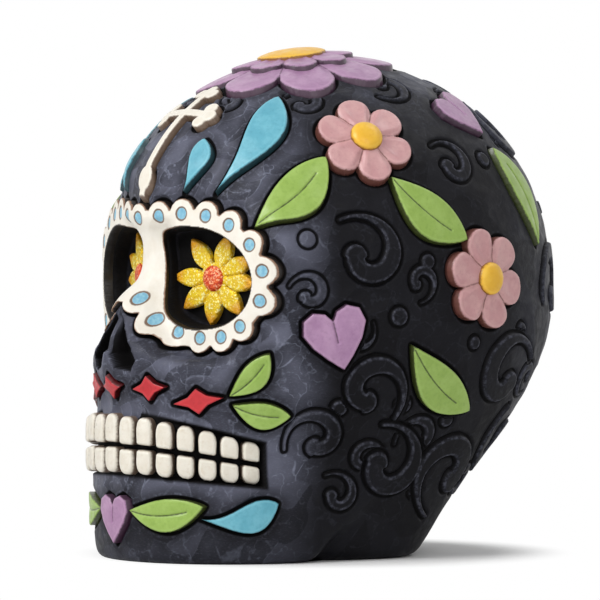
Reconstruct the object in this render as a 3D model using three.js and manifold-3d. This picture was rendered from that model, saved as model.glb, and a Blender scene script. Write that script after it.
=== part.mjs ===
// A painted sugar skull figurine: a hollow cast skull that stands on its flat base, with raised ornaments.
// Millimetres, +Z up. The face looks along -Y, and the skull's own left side is +X.
import * as THREE from 'three';
import { mergeVertices } from 'three/addons/utils/BufferGeometryUtils.js';
import Module from 'manifold-3d';

const wasm = await Module();
wasm.setup();

// Brain case
const skullHeight = 128;
const caseHalfWidth = 50;
const caseHalfLength = 61;
const caseHalfHeight = 57;
const caseSetBack = 3;
const caseSquareness = 2.04;
const foreheadSquareness = 0.18;
const foreheadStartShare = 0.25;

// Neck column under the brain case
const neckHeight = 66;
const neckBaseHalfWidth = 31;
const neckTopHalfWidth = 49;
const neckBaseHalfLength = 23;
const neckTopHalfLength = 57;
const neckBaseForward = 3.5;
const neckFrontLimit = 50;
const neckSquareness = 2.5;
const neckSwellShare = 0.25;
const neckGradeShare = 0.82;
const neckTopBlend = 20;
const neckFrontBlend = 6;
const neckCaseBlend = 8;

// Face, from chin to brow
const faceReach = 65;
const faceHalfWidth = 38.5;
const faceAxisForward = 28;
const faceTop = 98;
const faceSquareness = 2.15;
const faceBlend = 5;
const faceTopBlend = 6;
// Each row: height as a share of skullHeight, front as a share of faceReach, side as a share of faceHalfWidth
const faceRowShares = [
  [0.00, 0.940, 0.850],
  [0.05, 0.975, 0.885],
  [0.14, 0.980, 0.885],
  [0.23, 0.970, 0.865],
  [0.31, 0.945, 0.865],
  [0.36, 0.955, 0.890],
  [0.415, 0.966, 0.925],
  [0.47, 0.915, 0.960],
  [0.52, 0.868, 0.995],
  [0.565, 0.825, 1.000],
  [0.63, 0.790, 0.970],
  [0.72, 0.700, 0.740],
  [0.80, 0.520, 0.500],
];
const jawRearForward = 22;
const jawRearLean = 0.7;
const jawRearBlend = 3;
const jawRearGradeShare = 0.8;

// Flattened fields that carry the eyes
const browForward = 52.3;
const browTurn = THREE.MathUtils.degToRad(20.8);
const browRidgeHalfWidth = 6.2;
const browRidgeRound = 3;
const browBottom = 60;
const browTop = 97;
const browSlope = 0.6;
const browBlend = 4;

// Dip in the ridge between the eyes
const dipDepth = 2.6;
const dipHeight = 76;
const dipHalfWidth = 11;
const dipHalfHeight = 10;

// Nose bone
const noseForward = 52;
const noseHeight = 56;
const noseHalfWidth = 6.5;
const noseHalfLength = 10.3;
const noseHalfHeight = 14;
const noseBlend = 7;

// Foot edge, its levels as shares of its height, and the axis inside the head that the skin is measured from
const footRound = 2.5;
const footLevelShares = [0, 0.12, 0.4, 1];
const footStartShare = 0.01;
const heartHeight = 62;
const axisFootForward = 22;
const axisTopForward = 8;
const frontCrowding = 0.35;

// Wall and cavity
const wall = 6;
const cavityFrontForward = 31;
const cavityBlend = 10;
const cavityFloor = 7;

// Base opening, plate and felt
const openingForward = 9;
const openingHalfWidth = 21;
const openingHalfLength = 24;
const ledgeWidth = 3;
const feltThickness = 1.2;
const plateThickness = 2.4;

// Clearance between pieces, and the overrun of every cut
const clearance = 0.3;
const coverLift = 0.4;
const overrun = 4;

// Eye sockets, each a round-cornered opening with a straighter edge beside the nose
const socketOut = 19.8;
const socketForward = 47.2;
const socketHeight = 72.4;
const socketTurn = THREE.MathUtils.degToRad(17);
const socketHalfWidth = 15.35;
const socketHalfHeight = 12.6;
const socketDepth = 7;
const socketShares = [
  [-0.94, 0.84], [-0.58, 0.96], [-0.2, 0.98], [0.18, 0.91], [0.55, 0.7], [0.84, 0.38], [0.97, -0.04],
  [0.87, -0.5], [0.54, -0.84], [0.12, -0.99], [-0.34, -0.97], [-0.7, -0.74], [-0.86, -0.32], [-0.92, 0.3],
];

// Nose opening
const nostrilForward = 57;
const nostrilPocketForward = 61;
const nostrilTop = 64;
const nostrilHeight = 15;
const nostrilHalfWidth = 8.6;
const nostrilMiddleShare = 0.55;
const septumHalfWidth = 0.9;
const nostrilSideShares = [[0.08, 0], [0.42, -0.3], [0.78, -0.62], [1, -0.86], [0.72, -1], [0.3, -0.93]];
const nostrilNotchShare = -0.72;
const pocketSideShares = [[0, -0.22], [0.5, -0.55], [0.78, -0.86], [0.6, -0.93], [0.14, -0.86], [0, -0.6]];

// Eye mask: a band round each socket with a scallop at every painted dot, joined over the nose
const maskThickness = 2.2;
const maskBand = 4.3;
const maskRimStep = 0.4;
const maskShoulderShare = 0.6;
const maskOuterCrestShare = 0.85;
const maskInnerCrestShare = 0.3;
const scallopRadius = 4.3;
const bridgeReach = 24;
const bridgeRise = 17;
const bridgeDrop = 6.4;
const dotShares = [
  [-1.38, 1.18], [-0.88, 1.23], [-0.385, 1.28], [0.117, 1.24], [0.6, 1.06], [1.03, 0.67], [1.27, 0.15],
  [1.225, -0.445], [0.84, -0.96], [0.45, -1.18], [0.013, -1.21], [-0.436, -1.095], [-0.853, -0.85], [-1.16, -0.43],
];

// Teeth
const toothArcRadius = 31.6;
const toothArcForward = 34;
const toothArcHalfAngle = THREE.MathUtils.degToRad(84);
const toothDepth = 3.4;
const toothRound = 1.1;
const teethPerRow = 16;
const biteGap = 0.9;
const upperToothFrontHeight = 7.6;
const upperToothRearHeight = 4.7;
const lowerToothFrontHeight = 6.8;
const lowerToothRearHeight = 4.4;
const biteFrontHeight = 30.3;
const biteRearHeight = 24.8;
const gumMargin = 0.8;

// Relief of the ornaments
const petalThickness = 1.7;
const crownPetalThickness = 1.1;
const innerPetalThickness = 0.8;
const crownButtonThickness = 0.9;
const leafThickness = 1.5;
const heartThickness = 1.6;
const dropThickness = 1.5;
const diamondThickness = 1.1;
const buttonThickness = 1.6;
const crossThickness = 1.7;
const reliefShoulderShare = 0.55;
const reliefCrestShare = 0.74;
const stripCrestShare = 0.5;
const seatDepth = 1.5;

// Eye flowers on the socket floors
const eyeFlowerHalfWidth = 12.7;
const eyeFlowerHalfHeight = 11.4;
const eyeFlowerInward = 0.4;
const eyeFlowerDrop = 0.4;
const eyeFlowerThickness = 2.2;
const eyeFlowerPetals = 8;
const eyeFlowerValleyShare = 0.48;
const eyeBeadRadius = 3.5;
const eyeBeadHeight = 1.6;

// Blossoms, each with a button on its petals
const crownRadius = 24;
const crownInnerRadius = 15;
const crownButtonRadius = 8.2;
const crownPetals = 8;
const templeBlossomRadius = 12.5;
const rearBlossomRadius = 13;
const napeBlossomRadius = 12;
const blossomButtonRadius = 4.2;
const blossomPetals = 6;
const petalNotchShare = 0.36;
const petalTipPower = 0.7;
const crownPlaceShares = [0, 0.23, 0.0625];
const templeBlossomPlaceShares = [0.205, 0.135, 0.02];
const rearBlossomPlaceShares = [0.31, 0.03, 0.04];
const napeBlossomPlaceShares = [0.5, 0.04, 0];

// Leaves, drops and hearts
const templeLeafLength = 24;
const templeLeafHalfWidth = 5.2;
const rearLeafLength = 25;
const rearLeafHalfWidth = 5;
const cheekLeafLength = 15;
const cheekLeafHalfWidth = 3.4;
const jawLeafLength = 22;
const jawLeafHalfWidth = 4.2;
const leafRoundShare = 1.15;
const leafBendShare = 0.08;
const leafFullness = 0.8;
const browDropLength = 27;
const browDropHalfWidth = 4.2;
const shortDropLength = 15;
const shortDropHalfWidth = 3.2;
const jawDropLength = 20;
const jawDropHalfWidth = 3.8;
const dropRoundShare = 1.8;
const dropBendShare = 0.12;
const sideHeartRadius = 8.5;
const crownHeartRadius = 8;
const chinHeartRadius = 6.6;
const frontLeafPlaceShares = [0.135, 0.092, -0.13];
const backLeafPlaceShares = [0.258, 0.085, -0.36];
const upperRearLeafPlaceShares = [0.375, 0.085, 0.05];
const lowerRearLeafPlaceShares = [0.272, -0.05, -0.36];
const upperCheekLeafPlaceShares = [0.106, -0.04, -0.12];
const lowerCheekLeafPlaceShares = [0.112, -0.068, -0.28];
const jawLeafPlaceShares = [0.046, -0.107, -0.24];
const browDropPlaceShares = [0.088, 0.128, -0.06];
const shortDropPlaceShares = [0.047, 0.106, -0.03];
const jawDropPlaceShares = [0.098, -0.117, -0.22];
const sideHeartPlaceShares = [0.172, -0.014, 0.04];
const crownHeartPlaceShares = [0.36, 0.15, 0.06];
const chinHeartPlaceShares = [0, -0.11, 0];
const heartSideShares = [[0, -1], [0.38, -0.62], [0.75, -0.18], [0.98, 0.28], [0.88, 0.7], [0.52, 0.88], [0.18, 0.76]];
const heartNotchShare = 0.5;

// Diamonds over the lip
const centerDiamondHalfWidth = 4;
const innerDiamondHalfWidth = 5.3;
const outerDiamondHalfWidth = 6.6;
const diamondHalfHeight = 3.3;
const diamondWaistShare = 0.38;
const centerDiamondPlaceShares = [0, -0.043, 0];
const innerDiamondPlaceShares = [0.033, -0.045, 0.01];
const outerDiamondPlaceShares = [0.069, -0.055, 0.02];

// Cross on the forehead, with three lobes at each arm's end and a round foot
const crossPlaceShares = [0, 0.1446, 0];
const crossArmHalfWidth = 1.25;
const crossBarReach = 8.6;
const crossTopReach = 8;
const crossFootReach = 20;
const crossTipReach = 23.8;
const crossLobeRadius = 2;
const crossLobeForward = 1.6;
const crossLobeSpread = 2.5;
const crossFootRadius = 2.9;
const crossStep = 0.12;

// Colours
const slate = { color: 0x2b2c33, roughness: 0.5 };
const cream = { color: 0xeee6d7, roughness: 0.5 };
const gold = { color: 0xf0b92d, roughness: 0.5 };
const glitterYellow = { color: 0xe8c62e, roughness: 0.6 };
const glitterRed = { color: 0xcc3b22, roughness: 0.6 };
const pink = { color: 0xc89696, roughness: 0.5 };
const purple = { color: 0xa9829f, roughness: 0.5 };
const green = { color: 0x96b950, roughness: 0.5 };
const turquoise = { color: 0x5fafc3, roughness: 0.5 };
const red = { color: 0xc82333, roughness: 0.5 };
const felt = { color: 0x202124, roughness: 0.95 };

const fullTurn = Math.PI * 2;

// Smooth joins of distances

function smoothLeast(a, b, blend) {
  const near = Math.max(blend - Math.abs(a - b), 0) / blend;
  return Math.min(a, b) - near * near * blend / 4;
}

function smoothMost(a, b, blend) {
  return -smoothLeast(-a, -b, blend);
}

function ellipsoid(x, y, z, halfX, halfY, halfZ, power) {
  const u = x / halfX;
  const v = y / halfY;
  const w = z / halfZ;
  const reach = (Math.hypot(u, v) ** power + Math.abs(w) ** power) ** (1 / power);
  const slope = Math.hypot(u / halfX, v / halfY, w / halfZ);
  return reach * (reach - 1) / Math.max(slope, Number.EPSILON);
}

// A value of the face rows at a height, on a smooth curve through the rows
function rowSlope(column, i) {
  const rows = faceRowShares;
  const below = Math.max(i - 1, 0);
  const above = Math.min(i + 1, rows.length - 1);
  const fall = rows[i][0] - rows[below][0];
  const rise = rows[above][0] - rows[i][0];
  if (fall === 0 || rise === 0) {
    return (rows[above][column] - rows[below][column]) / (rise + fall);
  }
  const lower = (rows[i][column] - rows[below][column]) / fall;
  const upper = (rows[above][column] - rows[i][column]) / rise;
  return (lower * rise + upper * fall) / (rise + fall);
}

function faceRow(column, heightShare) {
  const rows = faceRowShares;
  const last = rows.length - 1;
  const h = Math.min(Math.max(heightShare, rows[0][0]), rows[last][0]);
  let i = 0;
  while (i < last - 1 && rows[i + 1][0] <= h) {
    i += 1;
  }
  const span = rows[i + 1][0] - rows[i][0];
  const t = (h - rows[i][0]) / span;
  const startEase = 2 * t ** 3 - 3 * t ** 2 + 1;
  const startTurn = t ** 3 - 2 * t ** 2 + t;
  const endTurn = t ** 3 - t ** 2;
  return startEase * rows[i][column] + startTurn * span * rowSlope(column, i)
    + (1 - startEase) * rows[i + 1][column] + endTurn * span * rowSlope(column, i + 1);
}

// Distances to the surfaces that make up the skull, below zero inside

function brainCase(x, y, z) {
  const back = y - caseSetBack;
  const up = z - (skullHeight - caseHalfHeight);
  const ahead = THREE.MathUtils.clamp(foreheadStartShare - back / caseHalfLength, 0, 1);
  const above = THREE.MathUtils.clamp(2 * up / caseHalfHeight, 0, 1);
  const power = caseSquareness + foreheadSquareness * ahead * above;
  return ellipsoid(x, back, up, caseHalfWidth, caseHalfLength, caseHalfHeight, power);
}

function neckColumn(x, y, z) {
  const level = THREE.MathUtils.clamp(z / neckHeight, 0, 1);
  const t = level * (1 + neckSwellShare - neckSwellShare * level);
  const halfX = THREE.MathUtils.lerp(neckBaseHalfWidth, neckTopHalfWidth, t);
  const halfY = THREE.MathUtils.lerp(neckBaseHalfLength, neckTopHalfLength, t);
  const middle = THREE.MathUtils.lerp(-neckBaseForward, caseSetBack, t);
  const power = neckSquareness;
  const reach = ((x / halfX) ** power + (Math.abs(y - middle) / halfY) ** power) ** (1 / power);
  const side = (reach - 1) * halfX * neckGradeShare;
  const capped = smoothMost(side, z - neckHeight, neckTopBlend);
  return smoothMost(capped, -(y + neckFrontLimit), neckFrontBlend);
}

function facePlate(x, y, z) {
  const level = z / skullHeight;
  const front = faceRow(1, level) * faceReach - faceAxisForward;
  const side = faceRow(2, level) * faceHalfWidth;
  const ahead = Math.max(-faceAxisForward - y, 0);
  const reach = ((x / side) ** faceSquareness + (ahead / front) ** faceSquareness) ** (1 / faceSquareness);
  const round = (reach - 1) * front;
  const jawRear = (y + jawRearForward - jawRearLean * z) * jawRearGradeShare;
  return smoothMost(smoothMost(round, jawRear, jawRearBlend), z - faceTop, faceTopBlend);
}

function bridgeDip(x, z) {
  const near = Math.max(1 - (x / dipHalfWidth) ** 2, 0) * Math.max(1 - ((z - dipHeight) / dipHalfHeight) ** 2, 0);
  return dipDepth * near ** 2;
}

function browField(x, y, z) {
  const side = Math.hypot(x, browRidgeRound) - browRidgeHalfWidth;
  const plane = side * Math.sin(browTurn) - (y + browForward) * Math.cos(browTurn) + bridgeDip(x, z);
  const zone = smoothLeast((z - browBottom) * browSlope, (browTop - z) * browSlope, browBlend);
  return smoothLeast(plane, zone, browBlend);
}

function noseBone(x, y, z) {
  return ellipsoid(x, y + noseForward, z - noseHeight, noseHalfWidth, noseHalfLength, noseHalfHeight, 2);
}

function skinDistance(point) {
  const x = Math.abs(point.x);
  const { y, z } = point;
  let d = smoothLeast(brainCase(x, y, z), neckColumn(x, y, z), neckCaseBlend);
  d = smoothLeast(d, facePlate(x, y, z), faceBlend);
  d = smoothMost(d, browField(x, y, z), browBlend);
  d = smoothLeast(d, noseBone(x, y, z), noseBlend);
  return smoothMost(d, -z, footRound);
}

function cavityDistance(point) {
  return smoothMost(skinDistance(point) + wall, -(point.y + cavityFrontForward), cavityBlend);
}

// The place between two points, one inside and one outside, where a distance is zero
function crossing(inside, outside, distance) {
  const near = inside.clone();
  const far = outside.clone();
  const middle = new THREE.Vector3();
  for (let step = 0; step < 30; step += 1) {
    middle.addVectors(near, far).multiplyScalar(0.5);
    (distance(middle) < 0 ? near : far).copy(middle);
  }
  return near;
}

const heart = new THREE.Vector3(0, 0, heartHeight);

function rayPoint(ray, distance) {
  return crossing(heart, heart.clone().addScaledVector(ray, skullHeight), distance);
}

// Closed solids from rings of points, and booleans between them

function triangleGeometry(points, triangles) {
  const geometry = new THREE.BufferGeometry();
  geometry.setAttribute('position', new THREE.Float32BufferAttribute(points.flatMap((p) => p.toArray()), 3));
  const volume = triangles.reduce((sum, [a, b, c]) => sum
    + points[a].dot(new THREE.Vector3().crossVectors(points[b], points[c])), 0);
  geometry.setIndex(triangles.flatMap(([a, b, c]) => (volume < 0 ? [a, c, b] : [a, b, c])));
  return geometry;
}

// Joins each ring to the next. The ends close on a cap point each, or the last ring joins the first.
// The second half of every ring is split the other way, so that a mirrored ring has mirrored triangles.
function ringSolid(rings, startCap, endCap) {
  const size = rings[0].length;
  const points = rings.flat();
  const triangles = [];
  const pairs = startCap ? rings.length - 1 : rings.length;
  for (let i = 0; i < pairs; i += 1) {
    const next = (i + 1) % rings.length;
    for (let j = 0; j < size; j += 1) {
      const k = (j + 1) % size;
      const [a, b, c, d] = [i * size + j, i * size + k, next * size + k, next * size + j];
      triangles.push(...(j < size / 2 ? [[a, b, c], [a, c, d]] : [[a, b, d], [b, c, d]]));
    }
  }
  if (startCap) {
    points.push(startCap, endCap);
    const start = points.length - 2;
    const end = points.length - 1;
    const lastRing = (rings.length - 1) * size;
    for (let j = 0; j < size; j += 1) {
      const k = (j + 1) % size;
      triangles.push([start, k, j]);
      triangles.push([end, lastRing + j, lastRing + k]);
    }
  }
  return triangleGeometry(points, triangles);
}

function toSolid(geometry) {
  const bare = geometry.clone();
  bare.deleteAttribute('normal');
  bare.deleteAttribute('uv');
  const merged = mergeVertices(bare);
  return new wasm.Manifold(new wasm.Mesh({
    numProp: 3,
    vertProperties: new Float32Array(merged.attributes.position.array),
    triVerts: new Uint32Array(merged.index.array),
  }));
}

function toGeometry(solid) {
  const mesh = solid.getMesh();
  const geometry = new THREE.BufferGeometry();
  geometry.setAttribute('position', new THREE.Float32BufferAttribute(mesh.vertProperties, 3));
  geometry.setIndex(Array.from(mesh.triVerts));
  return geometry;
}

function mirrored(geometry) {
  const copy = geometry.clone().scale(-1, 1, 1);
  const index = copy.index.array;
  for (let i = 0; i < index.length; i += 3) {
    [index[i], index[i + 1]] = [index[i + 1], index[i]];
  }
  return copy;
}

const group = new THREE.Group();

function add(name, geometry, paint) {
  const flat = geometry.index ? geometry.toNonIndexed() : geometry;
  flat.computeVertexNormals();
  const mesh = new THREE.Mesh(flat, new THREE.MeshStandardMaterial({ metalness: 0, ...paint }));
  mesh.name = name;
  group.add(mesh);
}

function addPair(name, geometry, paint) {
  add(`left_${name}`, geometry, paint);
  add(`right_${name}`, mirrored(geometry), paint);
}

// Seats for the ornaments: a place on the skin with axes across it, along it and out of it

function skinNormal(point) {
  const probe = clearance / 6;
  const axes = [new THREE.Vector3(1, 0, 0), new THREE.Vector3(0, 1, 0), new THREE.Vector3(0, 0, 1)];
  const slopes = axes.map((axis) => skinDistance(point.clone().addScaledVector(axis, probe))
    - skinDistance(point.clone().addScaledVector(axis, -probe)));
  return new THREE.Vector3(...slopes).normalize();
}

function seatFrom(center, out, tilt) {
  const upright = Math.abs(out.z) > 0.9 ? new THREE.Vector3(0, 1, 0) : new THREE.Vector3(0, 0, 1);
  const along = upright.addScaledVector(out, -upright.dot(out)).normalize();
  along.applyAxisAngle(out, tilt);
  const across = new THREE.Vector3().crossVectors(along, out);
  return { center, out, along, across };
}

// A seat found by the share of a turn round from the face, the share of a turn up, and the share of a turn of tilt
function seatOn([turnShare, riseShare, tiltShare]) {
  const turn = turnShare * fullTurn;
  const rise = riseShare * fullTurn;
  const ray = new THREE.Vector3(
    Math.sin(turn) * Math.cos(rise),
    -Math.cos(turn) * Math.cos(rise),
    Math.sin(rise),
  );
  const center = rayPoint(ray, skinDistance);
  return seatFrom(center, skinNormal(center), tiltShare * fullTurn);
}

// The point of the skin over a place of the seat's plane, lifted along the seat's outward axis
function onSkin(seat, across, along, lift) {
  const flat = seat.center.clone().addScaledVector(seat.across, across).addScaledVector(seat.along, along);
  const inside = flat.clone().addScaledVector(seat.out, -wall * 2);
  const outside = flat.clone().addScaledVector(seat.out, wall * 2);
  return crossing(inside, outside, skinDistance).addScaledVector(seat.out, lift);
}

// The surfaces that ornaments lie on: each gives the point at a place across and along, lifted by some height
function skinUnder(placeShares) {
  const seat = seatOn(placeShares);
  return (across, along, lift) => onSkin(seat, across, along, lift);
}

// A raised plate with a rounded edge, from an outline round its middle
function plate(surface, outline, thickness, floor) {
  const ring = (share, lift) => outline.map((p) => surface(p.x * share, p.y * share, lift));
  const rings = [
    ring(1, floor),
    ring(1, floor + thickness * reliefShoulderShare),
    ring(reliefCrestShare, floor + thickness),
  ];
  return ringSolid(rings, surface(0, 0, floor), surface(0, 0, floor + thickness));
}

// A raised strip with round shoulders along a straight line between two places
function strip(surface, from, to, halfWidth, thickness, floor) {
  const steps = Math.max(Math.round(from.distanceTo(to) / (halfWidth + thickness)), 2);
  const sideways = new THREE.Vector2(to.y - from.y, from.x - to.x).normalize();
  const shoulder = reliefShoulderShare;
  const crest = stripCrestShare;
  const profileShares = [[-1, 0], [1, 0], [1, shoulder], [crest, 1], [-crest, 1], [-1, shoulder]];
  const at = (t, across, lift) => {
    const p = from.clone().lerp(to, t).addScaledVector(sideways, across);
    return surface(p.x, p.y, floor + lift);
  };
  const rings = Array.from({ length: steps + 1 }, (_, i) => profileShares
    .map(([u, v]) => at(i / steps, u * halfWidth, v * thickness)));
  return ringSolid(rings, at(0, 0, thickness / 2), at(1, 0, thickness / 2));
}

// Outlines of the ornaments, as points round the middle

function turned(count, reachAt) {
  return Array.from({ length: count }, (_, i) => {
    const angle = fullTurn * i / count;
    const reach = reachAt(angle);
    return new THREE.Vector2(reach * Math.sin(angle), reach * Math.cos(angle));
  });
}

function blossomOutline(radius, petals) {
  return turned(petals * 6, (angle) => {
    const lobe = Math.sqrt(Math.abs(Math.cos(petals * angle / 2)));
    return radius * (1 - petalNotchShare * (1 - lobe));
  });
}

function pointedOutline(halfWidth, halfHeight, petals, valleyShare) {
  const unit = turned(petals * 6, (angle) => {
    const offset = Math.abs(((angle * petals / fullTurn) % 1) - 0.5) * 2;
    return valleyShare + (1 - valleyShare) * offset ** petalTipPower;
  });
  return unit.map((p) => new THREE.Vector2(p.x * halfWidth, p.y * halfHeight));
}

function discOutline(radius, count) {
  return turned(count, () => radius);
}

// A leaf, or a drop where the round share is larger: its fuller end is the far one
function leafOutline(length, halfWidth, roundShare, bendShare) {
  const steps = 9;
  const right = [];
  const left = [];
  for (let i = 0; i <= steps; i += 1) {
    const t = i / steps;
    const half = halfWidth * Math.sin(Math.PI * t ** roundShare) ** leafFullness;
    const bend = bendShare * length * (1 - (2 * t - 1) ** 2);
    const along = length * (t - 0.5);
    if (i === 0 || i === steps) {
      (i === 0 ? right : left).push(new THREE.Vector2(bend, along));
    } else {
      right.push(new THREE.Vector2(bend + half, along));
      left.push(new THREE.Vector2(bend - half, along));
    }
  }
  return [...right, ...left.reverse()];
}

function heartOutline(radius) {
  const side = heartSideShares.map(([u, v]) => new THREE.Vector2(u * radius, v * radius));
  const notch = new THREE.Vector2(0, radius * heartNotchShare);
  const other = side.slice(1).reverse().map((p) => new THREE.Vector2(-p.x, p.y));
  return [...side, notch, ...other];
}

function diamondOutline(halfWidth) {
  const waist = diamondWaistShare;
  const cornerShares = [[0, 1], [waist, waist], [1, 0], [waist, -waist], [0, -1], [-waist, -waist], [-1, 0], [-waist, waist]];
  return cornerShares.map(([u, v]) => new THREE.Vector2(u * halfWidth, v * diamondHalfHeight));
}

// A closed surface at distance zero: level rings round the axis up to the heart, and a dome of rings above it

function axisPoint(height) {
  const level = Math.min(height / heartHeight, 1);
  return new THREE.Vector3(0, -THREE.MathUtils.lerp(axisFootForward, axisTopForward, level), height);
}

function ringAround(distance, height, tilt, sectors) {
  const lowest = footRound * footStartShare;
  const start = axisPoint(Math.max(height, lowest));
  return Array.from({ length: sectors }, (_, j) => {
    const turn = fullTurn * j / sectors;
    const angle = turn - frontCrowding * Math.sin(turn);
    const ray = new THREE.Vector3(
      Math.sin(angle) * Math.cos(tilt),
      -Math.cos(angle) * Math.cos(tilt),
      Math.sin(tilt),
    );
    const point = crossing(start, start.clone().addScaledVector(ray, skullHeight), distance);
    point.z = height < lowest ? height : point.z;
    return point;
  });
}

function domedSolid(distance, levels, sectors, domeRings) {
  const rings = levels.map((height) => ringAround(distance, height, 0, sectors));
  for (let i = 1; i < domeRings; i += 1) {
    rings.push(ringAround(distance, heartHeight, Math.PI * i / domeRings / 2, sectors));
  }
  const top = axisPoint(heartHeight);
  const up = new THREE.Vector3(0, 0, skullHeight);
  return ringSolid(rings, axisPoint(levels[0]), crossing(top, top.clone().add(up), distance));
}

function levelsBetween(low, high, count) {
  return Array.from({ length: count }, (_, i) => THREE.MathUtils.lerp(low, high, (i + 1) / count));
}

// A prism between two copies of an outline, the first moved by one offset and the second by another
function prism(outline, place) {
  const rings = [0, 1].map((end) => outline.map((p) => place(p, end)));
  const caps = [0, 1].map((end) => place(new THREE.Vector2(0, 0), end));
  return ringSolid(rings, caps[0], caps[1]);
}

// Eye sockets

const socketSeat = seatFrom(
  new THREE.Vector3(socketOut, -socketForward, socketHeight),
  new THREE.Vector3(Math.sin(socketTurn), -Math.cos(socketTurn), 0),
  0,
);

function socketPoint(across, along, depth) {
  return socketSeat.center.clone()
    .addScaledVector(socketSeat.across, across)
    .addScaledVector(socketSeat.along, along)
    .addScaledVector(socketSeat.out, -depth);
}

function socketOutline(count) {
  const corners = socketShares.map(([u, v]) => new THREE.Vector3(u * socketHalfWidth, v * socketHalfHeight, 0));
  const curve = new THREE.CatmullRomCurve3(corners, true);
  return curve.getPoints(count).slice(0, count).map((p) => new THREE.Vector2(p.x, p.y));
}

// The socket's prism, or a slimmer one inside it by a margin
function socketPrism(margin) {
  const outline = socketOutline(36).map((p) => p.setLength(p.length() - margin));
  return prism(outline, (p, end) => socketPoint(p.x, p.y, end ? socketDepth - margin : -socketDepth - overrun));
}

// Nose opening: an upside-down heart, with two deeper pockets beside the septum

function nostrilCut() {
  const right = nostrilSideShares.map(([u, v]) => new THREE.Vector2(u * nostrilHalfWidth, v * nostrilHeight));
  const left = right.slice().reverse().map((p) => new THREE.Vector2(-p.x, p.y));
  const outline = [...right, new THREE.Vector2(0, nostrilNotchShare * nostrilHeight), ...left];
  const middle = nostrilMiddleShare * nostrilHeight;
  const around = outline.map((p) => new THREE.Vector2(p.x, p.y + middle));
  return prism(around, (p, end) => new THREE.Vector3(
    p.x,
    end ? -faceReach - overrun : -nostrilPocketForward,
    nostrilTop - middle + p.y,
  ));
}

function nostrilPocketCut() {
  const outline = pocketSideShares.map(([u, v]) => new THREE.Vector2(
    septumHalfWidth + u * (nostrilHalfWidth - septumHalfWidth),
    v * nostrilHeight,
  ));
  const center = outline.reduce((sum, p) => sum.add(p), new THREE.Vector2()).divideScalar(outline.length);
  const around = outline.map((p) => p.clone().sub(center));
  return prism(around, (p, end) => new THREE.Vector3(
    p.x + center.x,
    end ? -nostrilPocketForward - clearance : -nostrilForward,
    nostrilTop + p.y + center.y,
  ));
}

// Teeth: two arched strips in a recess that follows the jaw

function biteHeight(angle) {
  return THREE.MathUtils.lerp(biteFrontHeight, biteRearHeight, 1 - Math.cos(angle));
}

function arcPoint(angle, radius, height) {
  return new THREE.Vector3(radius * Math.sin(angle), -toothArcForward - radius * Math.cos(angle), height);
}

function rowHeight(front, rear, angle) {
  return THREE.MathUtils.lerp(front, rear, 1 - Math.cos(angle));
}

function middleOf(ring) {
  return ring.reduce((sum, p) => sum.add(p), new THREE.Vector3()).divideScalar(ring.length);
}

function mouthCut() {
  const steps = 28;
  const end = toothArcHalfAngle + gumMargin / toothArcRadius;
  const rings = [];
  for (let i = 0; i <= steps; i += 1) {
    const angle = end * (2 * i / steps - 1);
    const bite = biteHeight(angle);
    const low = bite - biteGap - rowHeight(lowerToothFrontHeight, lowerToothRearHeight, angle) - gumMargin;
    const high = bite + rowHeight(upperToothFrontHeight, upperToothRearHeight, angle) + gumMargin;
    const inner = toothArcRadius - toothDepth;
    const outer = toothArcRadius + overrun;
    rings.push([
      arcPoint(angle, inner, low),
      arcPoint(angle, outer, low),
      arcPoint(angle, outer, high),
      arcPoint(angle, inner, high),
    ]);
  }
  return ringSolid(rings, middleOf(rings[0]), middleOf(rings[steps]));
}

function teeth(rowLow, rowHigh) {
  const stepsPerTooth = 4;
  const steps = teethPerRow * stepsPerTooth;
  const inner = toothArcRadius - toothDepth + clearance;
  const rings = [];
  for (let i = 0; i <= steps; i += 1) {
    const angle = toothArcHalfAngle * (2 * i / steps - 1);
    const inTooth = (i % stepsPerTooth) / stepsPerTooth;
    const round = i % stepsPerTooth === 0 ? 0 : Math.sin(Math.PI * inTooth) ** 0.3;
    const outer = toothArcRadius - toothRound * (1 - round);
    const low = rowLow(angle);
    const high = rowHigh(angle);
    rings.push([
      arcPoint(angle, inner, low),
      arcPoint(angle, outer - toothRound / 2, low),
      arcPoint(angle, outer, (low + high) / 2),
      arcPoint(angle, outer - toothRound / 2, high),
      arcPoint(angle, inner, high),
    ]);
  }
  return ringSolid(rings, middleOf(rings[0]), middleOf(rings[steps]));
}

// Base opening with a ledge, the plate that closes it and the felt under it

function baseDisc(margin, low, high) {
  const outline = turned(36, () => 1);
  return prism(outline, (p, end) => new THREE.Vector3(
    p.x * (openingHalfWidth + margin),
    p.y * (openingHalfLength + margin) - openingForward,
    end ? high : low,
  ));
}

const plateBottom = feltThickness + clearance;
const ledgeHeight = plateBottom + plateThickness + clearance;

function skin(distance) {
  const foot = footLevelShares.map((share) => share * footRound);
  return domedSolid(distance, [...foot, ...levelsBetween(footRound, heartHeight, 16)], 48, 16);
}

function cavity() {
  return domedSolid(cavityDistance, [cavityFloor, ...levelsBetween(cavityFloor, heartHeight, 5)], 20, 6);
}

function skullShell() {
  const cuts = [
    cavity(),
    baseDisc(0, -overrun, cavityFloor + clearance),
    baseDisc(ledgeWidth + clearance, -overrun, ledgeHeight),
    socketPrism(0),
    mirrored(socketPrism(0)),
    nostrilCut(),
    nostrilPocketCut(),
    mirrored(nostrilPocketCut()),
    mouthCut(),
  ];
  return toGeometry(cuts.reduce((shell, cut) => shell.subtract(toSolid(cut)), toSolid(skin(skinDistance))));
}

// The skin with the clearance over it, which shapes the underside of every ornament
const cover = toSolid(skin((point) => skinDistance(point) - coverLift));

function seated(geometry) {
  return toGeometry(toSolid(geometry).subtract(cover));
}

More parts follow.
